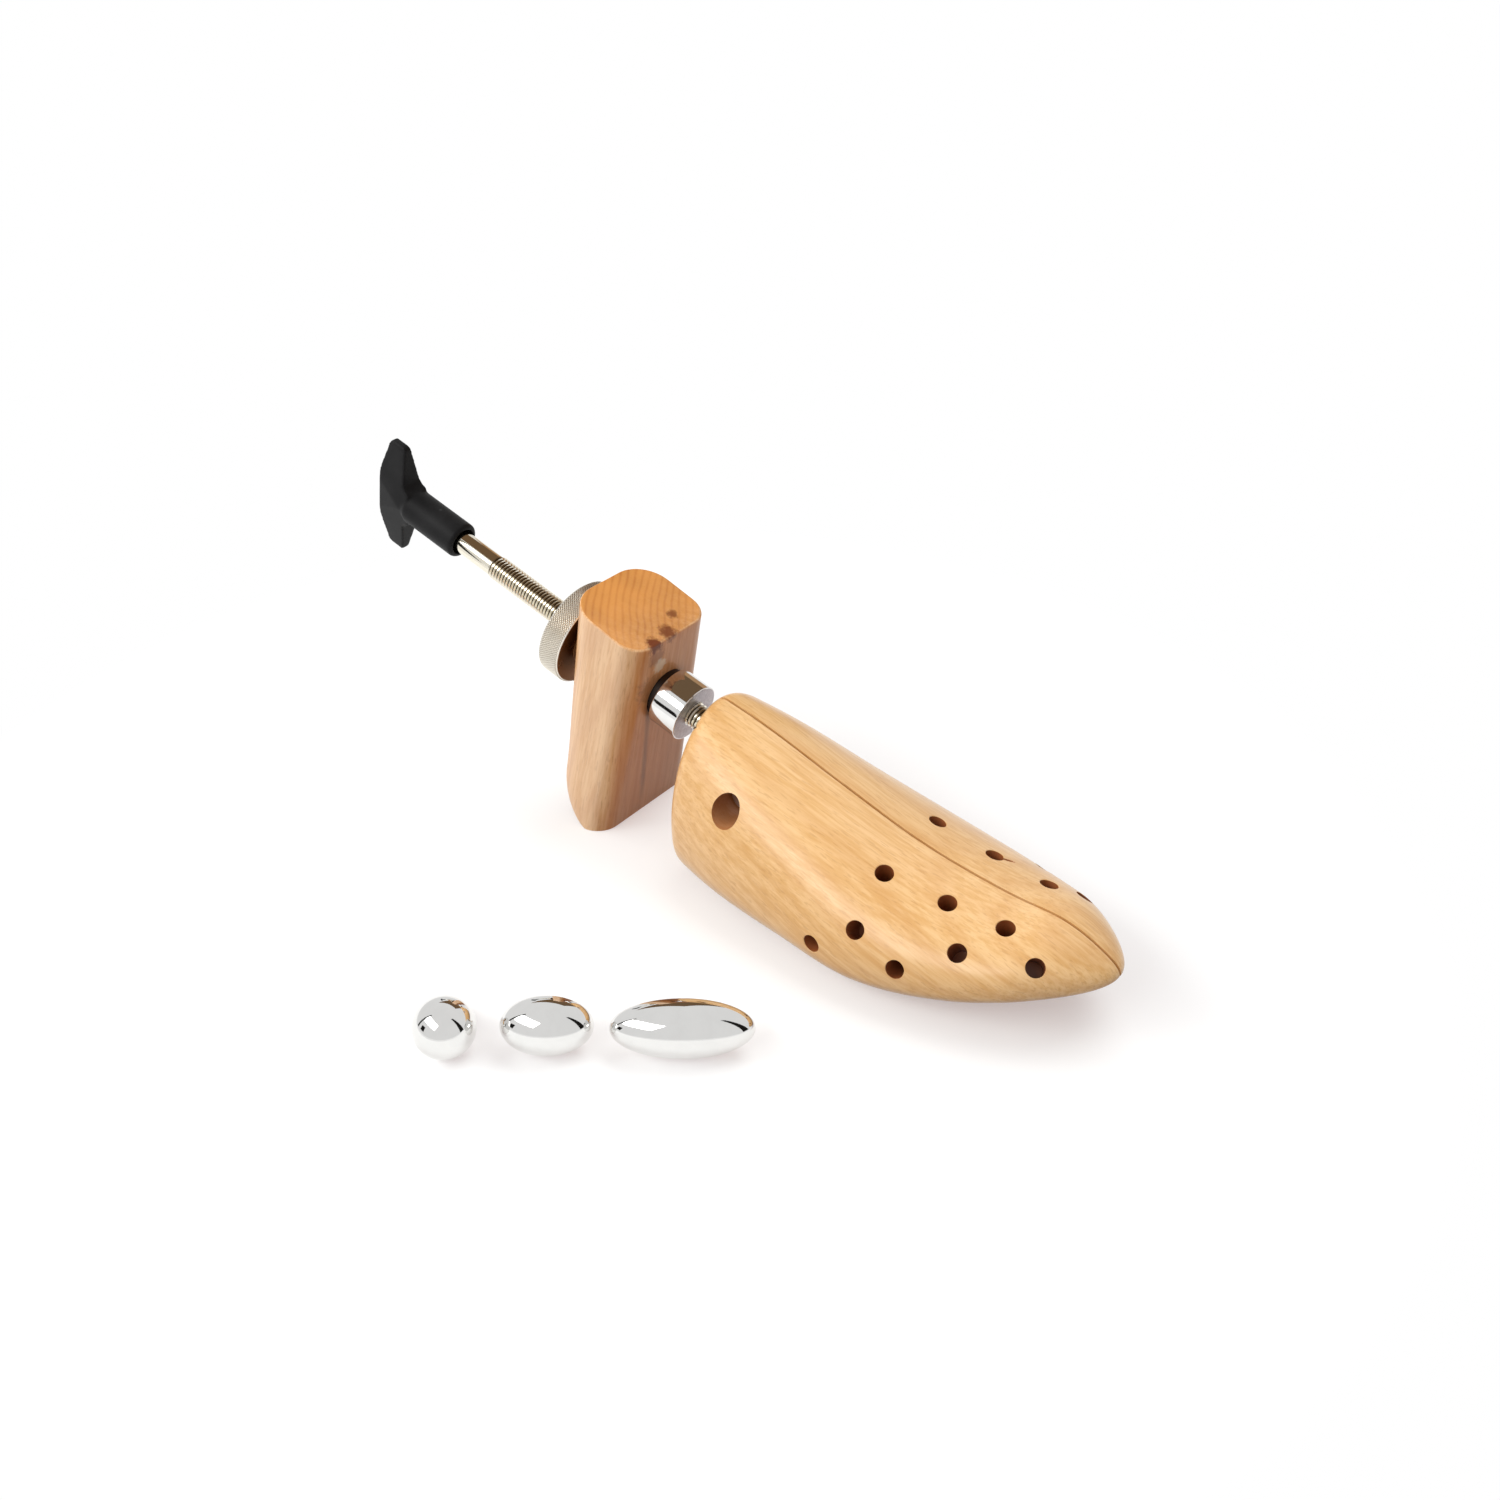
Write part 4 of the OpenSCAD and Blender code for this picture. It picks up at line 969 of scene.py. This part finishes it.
class STRETCHER_OT_finishes(bpy.types.Operator):
    """Make the metal finishes that several pieces share"""
    bl_idname = "stretcher.finishes"
    bl_label = "Finishes"

    def execute(self, context):
        s = context.scene.stretcher_metal
        steel, nickel, satin, chrome = (tuple(c) for c in (s.steel, s.nickel, s.satin, s.chrome))

        def shank(look, tone, rough, x, radius):
            plain = 1 - (x > -THREAD_BACK)
            return look.mix(plain, tone, nickel), rough * (1 - plain * 0.5)

        def wheel_face_reflection(look, tone, rough, x, radius):
            # Painted reflection: the wheel's face toward the block is painted dark brown, as if
            # mirroring the shaded block.
            inner = (x > -WHEEL_BACK - 0.4) * (1 - (radius > WHEEL_R - 0.8))
            return look.mix(inner, tone, PAINTED_HUB_REFLECTION), rough

        def satin_front(look, tone, rough, x, radius):
            face = (x > -0.06) * (1 - (radius > 11.3))
            rays = look.noise(look.place, 900.0, 3.0, 0.6)
            grey = look.mix(rays.between(0.3, 0.75), DULL_RAYS, PALE_RAYS)
            return look.mix(face, tone, grey), rough + face * 0.33

        metal("zinc_plate", steel, 0.34, 0.3)
        metal("dark_steel", DARK_STEEL_AND_GAP_SHADE, 0.4, 0.3)
        metal("spindle_nickel", nickel, 0.11, 0.2, 0.12, (4.2, 4.58, THREAD_ROOT_TONE), shank)
        metal("satin_nickel", satin, 0.30, 0.5, 0.3, None, wheel_face_reflection)
        metal("knurl_nickel", satin, 0.32, 0.0, 0.3, (20.0, 20.36, KNURL_VALLEY_TONE))
        metal("bright_chrome", chrome, 0.045, 0.0, 0.15)
        metal("ferrule_chrome", chrome, 0.05, 0.12, 0.15, None, satin_front)
        return {"FINISHED"}


class STRETCHER_OT_spindle(bpy.types.Operator):
    """Build the spindle with its two cut threads"""
    bl_idname = "stretcher.spindle"
    bl_label = "Spindle"

    def execute(self, context):
        s = context.scene.stretcher_metal
        nickel = bpy.data.materials["spindle_nickel"]
        root, front_core = THREAD_R - s.thread_depth, FRONT_ROOT + GAP
        back = -HANDLE_BACK - SHANK_SOCKET
        outline = [(back, 0), (back, SHANK_R), (-THREAD_BACK, SHANK_R),
                   (-THREAD_BACK + 0.6, root - GAP), (YOKE_BACK - 0.8, root - GAP),
                   (YOKE_BACK - 0.1, 4.6), (YOKE_BACK - 0.1, FRONT_R), (JOURNAL_FRONT, FRONT_R),
                   (JOURNAL_FRONT + 0.5, front_core), (SPINDLE_FRONT - 1, front_core),
                   (SPINDLE_FRONT, 2.9), (SPINDLE_FRONT, 0)]
        bar = lathe("spindle_bar", rounded(outline, 0.3, 3), ROD, 96)
        place_piece(smooth(bar, 30), "spindle_group", "spindle_plate", nickel, "spindle")
        tree = thread_tree()
        threads = (("long_thread", -THREAD_BACK, YOKE_BACK - 0.2, s.pitch, root, THREAD_R, 48),
                   ("front_thread", JOURNAL_FRONT + 0.2, SPINDLE_FRONT - 0.8, FRONT_PITCH,
                    FRONT_ROOT, FRONT_R, 40))
        for name, start, end, pitch, low, high, sides in threads:
            values = {"Start": start, "End": end, "Pitch": pitch, "Root Radius": low,
                      "Crest Radius": high, "Sides": sides, "Material": nickel}
            piece = tree.make(name, values, ROD)
            face_outward(piece.data, fill=True)
            place_piece(smooth(piece, 28), "spindle_group", "spindle_plate", nickel)
        return {"FINISHED"}


def mirrored(points, flip):
    """The points, and after them the same points in reverse order, flipped."""
    return points + [(x * flip[0], y * flip[1]) for x, y in reversed(points)]


class STRETCHER_OT_handle(bpy.types.Operator):
    """Build the moulded T-handle with its recess"""
    bl_idname = "stretcher.handle"
    bl_label = "T-handle"

    def execute(self, context):
        s = context.scene.stretcher_handle
        front, half, r = -HANDLE_BACK - BARREL_LEN, BAR_SPAN / 2, BARREL_R
        back = front - BAR_DEPTH
        tip = back + (BAR_DEPTH - BAR_TIP_DEPTH) * 0.45
        side = [(front + 2, r * 0.97), (front - 0.2, r + 1.2), (front - 1.6, r + 3),
                (tip + BAR_TIP_DEPTH, half - BAR_ROUND), (tip + BAR_TIP_DEPTH - BAR_ROUND, half),
                (tip + BAR_ROUND, half), (tip, half - BAR_ROUND), (back + 0.6, half * 0.5),
                (back, half * 0.15)]
        edge = mirrored([(BAR_ROOT_W / 2, 0), (BAR_TIP_W / 2, half - BAR_ROUND),
                         (BAR_TIP_W / 2 - 0.6, half)], (-1, 1))
        edge += [(-y, -z) for y, z in edge[1:-1]]
        plan = [(front + 3, BAR_ROOT_W / 2 + 0.5), (back + BAR_ROUND, BAR_BACK_W / 2),
                (back, BAR_BACK_W / 2 - BAR_ROUND)]
        turned = ROD @ Matrix.Rotation(BAR_TURN, 4, "X")
        along = Matrix(((0, 0, 1, 0), (1, 0, 0, 0), (0, 1, 0, 0), (0, 0, 0, 1)))
        bar = extrusion("handle_bar", mirrored(side, (1, -1)), -r - 1, r + 1,
                        turned @ Matrix.Rotation(math.pi / 2, 4, "X"))
        slab = extrusion("bar_front", edge, back - 1, front + 11, turned @ along)
        flat = extrusion("bar_plan", mirrored(plan, (1, -1)), -half - 1, half + 1, turned)
        carve(bar, [slab, flat], "INTERSECT")
        barrel = [(front - 6, 0), (front - 2, r - 1.5), (front + 1.5, r), (-HANDLE_BACK - 1, r),
                  (-HANDLE_BACK, r - 1), (-HANDLE_BACK, 0)]
        carve(bar, [lathe("barrel", barrel, ROD, 96)], "UNION")
        remesh = bar.modifiers.new("skin", "REMESH")
        remesh.mode, remesh.voxel_size = "VOXEL", s.cell * MM
        relax = bar.modifiers.new("relax", "SMOOTH")
        relax.factor, relax.iterations = 0.5, 6
        settle(bar)
        socket = [(-SHANK_SOCKET, 0), (-SHANK_SOCKET, SOCKET_R), (-3, SOCKET_R), (-3, 5.6),
                  (-0.3, 5.6), (3, 6.2), (3, 0)]
        socket = [(-HANDLE_BACK + x, radius) for x, radius in socket]
        carve(bar, [lathe("socket", socket, ROD, 96)])
        bar.name = "moulded_handle"
        plastic = moulded("handle_plastic", tuple(s.black), s.roughness)
        place_piece(smooth(bar, 50), "spindle_group", "black_plastic", plastic, "t_handle")
        return {"FINISHED"}


class STRETCHER_OT_heel_metal(bpy.types.Operator):
    """Build the knurled wheel and the ferrule, and finish the sleeve and washer between them"""
    bl_idname = "stretcher.heel_metal"
    bl_label = "Wheel and ferrule"

    def execute(self, context):
        s = context.scene.stretcher_metal
        finish = bpy.data.materials
        back, skin, rim = -WHEEL_BACK - WHEEL_W, WHEEL_R - s.knurl_height, WHEEL_R - 0.9
        hub, sleeve_back = hub_seat() - 0.1, back + FERRULE_WALL
        outline = [(sleeve_back, SLEEVE_BORE), (back, SLEEVE_BORE), (back, rim),
                   (back + WHEEL_EDGE, skin), (-WHEEL_BACK - WHEEL_EDGE, skin),
                   (-WHEEL_BACK, rim), (-WHEEL_BACK, HUB_R), (hub, HUB_R),
                   (hub, SLEEVE_R), (sleeve_back, SLEEVE_R)]
        wheel = lathe("wheel_body", rounded(outline, 0.25, 3), ROD, 160)
        place_piece(smooth(wheel, 30), "wheel", "wheel_plate", finish["satin_nickel"],
                    "knurled_wheel")
        values = {"Radius": WHEEL_R, "Back": back + WHEEL_EDGE, "Width": WHEEL_W - 2 * WHEEL_EDGE,
                  "Around": s.knurl_around, "Rows": KNURL_ROWS, "Height": s.knurl_height,
                  "Material": finish["knurl_nickel"]}
        place_piece(knurl_tree().make("wheel_knurl", values, ROD), "wheel", "wheel_plate", None)
        skin = FERRULE_R - GAP
        outline = [(0, SLEEVE_BORE), (0, skin), (-FERRULE_LEN, skin), (-FERRULE_LEN, SLEEVE_R),
                   (-FERRULE_WALL, SLEEVE_R), (-FERRULE_WALL, SLEEVE_BORE)]
        ferrule = lathe("polished_ferrule", rounded(outline, 0.45, 6), ROD, 160)
        place_piece(smooth(ferrule, 30), "wheel", "chrome_plate", finish["ferrule_chrome"],
                    "ferrule")
        dress(finish["zinc_plate"], "threaded_sleeve")
        # Seat washer: dark steel, partly painted shade of the gap behind the ferrule.
        dress(finish["dark_steel"], "seat_washer")
        return {"FINISHED"}


def plug_place(at, b, c, tip):
    """Place of a plug that lies on its knob's rim and its peg's tip, axis along x.
    b and c are half its height and its depth behind the rim; tip is how far back its peg ends."""
    k = tip ** 2 - c ** 2
    tilt = math.atan((-tip * PEG_R
                      + math.sqrt((tip * PEG_R) ** 2 - k * (PEG_R ** 2 - b ** 2))) / k)
    lift = math.hypot(c * math.sin(tilt), b * math.cos(tilt))
    return (Matrix.Translation((at[0] * MM, at[1] * MM, lift * MM))
            @ Matrix.Rotation(PLUG_FACING, 4, "Z") @ Matrix.Rotation(-tilt, 4, "Y")
            @ Matrix.Scale(MM, 4))


def knob(name, place, across, high, deep_front, deep_back, seat):
    """Plated knob: two half ellipsoids on one rim, cut flat behind for its peg."""
    rows, cols = 64, 96
    start = -math.asin(seat / deep_back)
    angles = [start + (math.pi / 2 - start) * i / rows for i in range(rows)]
    shrink = KNOB_BEVEL * math.cos(start)
    rings = [(-seat, shrink)] + [((deep_back if a < 0 else deep_front) * math.sin(a), math.cos(a))
                                 for a in angles]
    points = [(-seat, 0, 0)]
    for x, size in rings:
        for j in range(cols):
            t = 2 * math.pi * j / cols
            points.append((x, across * size * math.cos(t), high * size * math.sin(t)))
    points.append((deep_front, 0, 0))
    last, faces = len(points) - 1, []
    for j in range(cols):
        k = (j + 1) % cols
        faces.append((0, 1 + k, 1 + j))
        for i in range(rows):
            near, far = 1 + i * cols, 1 + (i + 1) * cols
            faces.append((near + j, near + k, far + k, far + j))
        faces.append((1 + rows * cols + j, 1 + rows * cols + k, last))
    return smooth(new_piece(name, points, faces, place), 40)


class STRETCHER_OT_plugs(bpy.types.Operator):
    """Build the three loose stretching plugs with their pegs"""
    bl_idname = "stretcher.plugs"
    bl_label = "Stretching plugs"

    def execute(self, context):
        chrome = bpy.data.materials["bright_chrome"]
        dome = (OVAL_H / 2, DOME_FRONT, DOME_BACK, DOME_BACK * DOME_SEAT)
        rows = (("ball", BALL_AT, BALL_R, BALL_R, BALL_R, BALL_R, BALL_R * BALL_SEAT),
                ("oval", OVAL_AT, OVAL_LEN / 2, *dome), ("long", LONG_AT, LONG_LEN / 2, *dome))
        for name, at, across, high, ahead, behind, seat in rows:
            tip = seat + PEG_LEN
            place = plug_place(at, high, behind, tip)
            piece = knob(f"{name}_plug_dome", place, across, high, ahead, behind, seat)
            stem = [(-tip, 0), (-tip, PEG_R - 0.35), (0.1 - tip, PEG_R - 0.12),
                    (0.35 - tip, PEG_R), (-seat - 0.5, PEG_R), (-seat - 0.15, PEG_R - 0.2),
                    (-seat + 4, PEG_R - 0.2), (-seat + 4, 0)]
            peg = lathe(f"{name}_plug_stem", stem, place, 64)
            place_piece(piece, f"{name}_plug", "chrome_plate", chrome, f"{name}_plug_knob")
            place_piece(smooth(peg, 40), f"{name}_plug", "chrome_plate", chrome,
                        f"{name}_plug_peg")
        return {"FINISHED"}


# Studio. Places are in metres.
FLOOR_GLOW, FLOOR_UNSEEN = (0.40, 0.34, 0.335), (0.20, 0.175, 0.17)
FADE_CENTRE, FADE_FROM, FADE_TO, SKY_IN_GLOSS = (0.03, -0.03), 0.23, 0.30, 0.42
AIM, WARM = (0.09, -0.02, 0.03), (1.0, 0.99, 0.97)
CAMERA_AT = (0.342647, -0.3622, 0.3596)
CAMERA_TILT, CAMERA_TURN = math.radians(56), math.radians(38)

# Each lamp: name, place, size, share of the window's power, colour, whether metal mirrors it.
LAMPS = (("softbox", (-0.17, -0.82, 0.74), (1.0, 0.40), 1.17, WARM, True),
         ("window", (-0.75, -0.55, 0.50), (0.9, 0.7), 1.1, WARM, False),
         ("top", (0.15, 0.42, 0.95), (0.9, 0.6), 1.0, (1.0, 0.99, 0.98), False),
         ("fill", (0.9, -0.75, 0.7), (0.8, 0.8), 0.22, (0.98, 0.99, 1.0), False))

# Cards that only reflections show: two over the spindle, in its own frame and in mm, and three
# dark strips in front and to both sides.
DARK = (0.012, 0.011, 0.010)
ROD_CARDS = (("brown_card_above", (0.16, 0.10, 0.055),
              ((-190, -35, 60), (8, -35, 60), (8, 110, 60), (-190, 110, 60))),
             ("tan_card_behind", (0.45, 0.27, 0.14),
              ((-190, 110, 60), (8, 110, 60), (8, 110, 5), (-190, 110, 5))))
STRIPS = (("dark_strip_low", ((-0.20, -0.42, 0.05), (-0.09, -0.42, 0.05),
                              (-0.09, -0.42, 0.14), (-0.20, -0.42, 0.14))),
          ("dark_strip_left", ((-0.37, -0.40, 0.03), (-0.34, -0.44, 0.03),
                               (-0.34, -0.44, 0.75), (-0.37, -0.40, 0.75))),
          ("dark_strip_right", ((0.48, -0.03, 0.02), (0.56, 0.15, 0.02),
                                (0.54, 0.11, 0.75), (0.50, 0.02, 0.75))))


def lamp(name, place, size, power, colour, glossy):
    light = bpy.data.lights.new(name, "AREA")
    light.shape, light.size, light.size_y = "RECTANGLE", size[0], size[1]
    light.energy, light.color = power, colour
    made = bpy.data.objects.new(name, light)
    made.location = place
    made.rotation_euler = (Vector(AIM) - Vector(place)).to_track_quat("-Z", "Y").to_euler()
    made.visible_glossy, made.visible_camera = glossy, False
    bpy.context.scene.collection.objects.link(made)


def screen(name, corners, tone):
    """A plain card near the object, seen only in its reflections."""
    card = new_piece(name, corners, [(0, 1, 2, 3)], Matrix(), closed=False)
    look = Finish(name)
    card.data.materials.append(look.ends(look.glow(tone)))
    card.visible_camera = card.visible_diffuse = card.visible_shadow = False


def floor_paper(colour):
    """Floor finish: pale with soft shadows near the object, and plain white further out."""
    look = Finish("floor_paper")
    shown = look.ray("Camera").most(look.ray("Glossy")).most(look.ray("Transmission"))
    lit = look.node("ShaderNodeAddShader", {}, {0: look.matt(colour), 1: look.glow(FLOOR_GLOW)})
    x, y, z = look.place.parts()
    away = ((x - FADE_CENTRE[0]) ** 2 + (y - FADE_CENTRE[1]) ** 2).root()
    far = look.either(away.between(FADE_FROM, FADE_TO), lit, look.glow((1, 1, 1)))
    return look.ends(look.either(shown, look.matt(FLOOR_UNSEEN), far))


class STRETCHER_OT_studio(bpy.types.Operator):
    """Make the pale floor, the sky, the soft lights and the camera"""
    bl_idname = "stretcher.studio"
    bl_label = "Studio"

    def execute(self, context):
        s, scene = context.scene.stretcher_studio, context.scene
        low, high, z = -FLOOR_HALF, FLOOR_HALF, -FLOOR_DROP
        corners = [(low, low, z), (high, low, z), (high, high, z), (low, high, z)]
        floor = new_piece("floor", corners, [(0, 1, 2, 3)], closed=False)
        floor.data.materials.append(floor_paper(s.floor))

        world = bpy.data.worlds.new("studio_sky")
        world.use_nodes = True
        sky = Graph(world.node_tree)
        sky.tree.nodes.clear()
        shown = sky.ray("Camera").most(sky.ray("Transmission"))
        strength = s.world + shown * (1 - s.world) + sky.ray("Glossy") * SKY_IN_GLOSS
        ground = sky.node("ShaderNodeBackground", {}, {"Color": (1, 1, 1, 1), "Strength": strength})
        sky.node("ShaderNodeOutputWorld", {}, {"Surface": ground})
        scene.world = world

        for name, place, size, share, colour, glossy in LAMPS:
            lamp(name, place, size, s.window * share, colour, glossy)
        for name, tone, corners in ROD_CARDS:
            screen(name, [ROD @ Vector(q) for q in corners], tone)
        for name, corners in STRIPS:
            screen(name, corners, DARK)

        data = bpy.data.cameras.new("camera")
        data.lens, data.sensor_width, data.sensor_fit = s.lens, 36.0, "AUTO"
        data.clip_start, data.clip_end = 0.01, 20.0
        camera = bpy.data.objects.new("camera", data)
        camera.location, camera.rotation_euler = CAMERA_AT, (CAMERA_TILT, 0, CAMERA_TURN)
        scene.collection.objects.link(camera)
        scene.camera = camera
        scene.view_settings.view_transform = "Standard"
        return {"FINISHED"}


class STRETCHER_PT_panel(bpy.types.Panel):
    """Lists the stretcher's pieces and their sizes and colours"""
    bl_idname = "STRETCHER_PT_panel"
    bl_label = "Shoe Stretcher"
    bl_space_type = "VIEW_3D"
    bl_region_type = "UI"
    bl_category = "Shoe Stretcher"

    def draw(self, context):
        for operator in OPERATORS:
            self.layout.operator(operator.bl_idname)
        for label, kind in SETTINGS.items():
            box = self.layout.box()
            box.label(text=kind.__name__)
            for name in kind.__annotations__:
                box.prop(getattr(context.scene, label), name)


SETTINGS = {"stretcher_beech": BeechSettings, "stretcher_heel": HeelSettings,
            "stretcher_metal": MetalSettings, "stretcher_handle": HandleSettings,
            "stretcher_studio": StudioSettings}
OPERATORS = (STRETCHER_OT_finishes, STRETCHER_OT_last, STRETCHER_OT_heel_block,
             STRETCHER_OT_spindle, STRETCHER_OT_handle, STRETCHER_OT_heel_metal,
             STRETCHER_OT_plugs, STRETCHER_OT_studio)


def register():
    for kind in (*SETTINGS.values(), *OPERATORS, STRETCHER_PT_panel):
        bpy.utils.register_class(kind)
    for label, kind in SETTINGS.items():
        setattr(bpy.types.Scene, label, PointerProperty(type=kind))


def unregister():
    for label in SETTINGS:
        delattr(bpy.types.Scene, label)
    for kind in reversed((*SETTINGS.values(), *OPERATORS, STRETCHER_PT_panel)):
        bpy.utils.unregister_class(kind)


def main():
    register()
    for operator in OPERATORS:
        group, name = operator.bl_idname.split(".")
        getattr(getattr(bpy.ops, group), name)()


if __name__ == "__main__":
    main()
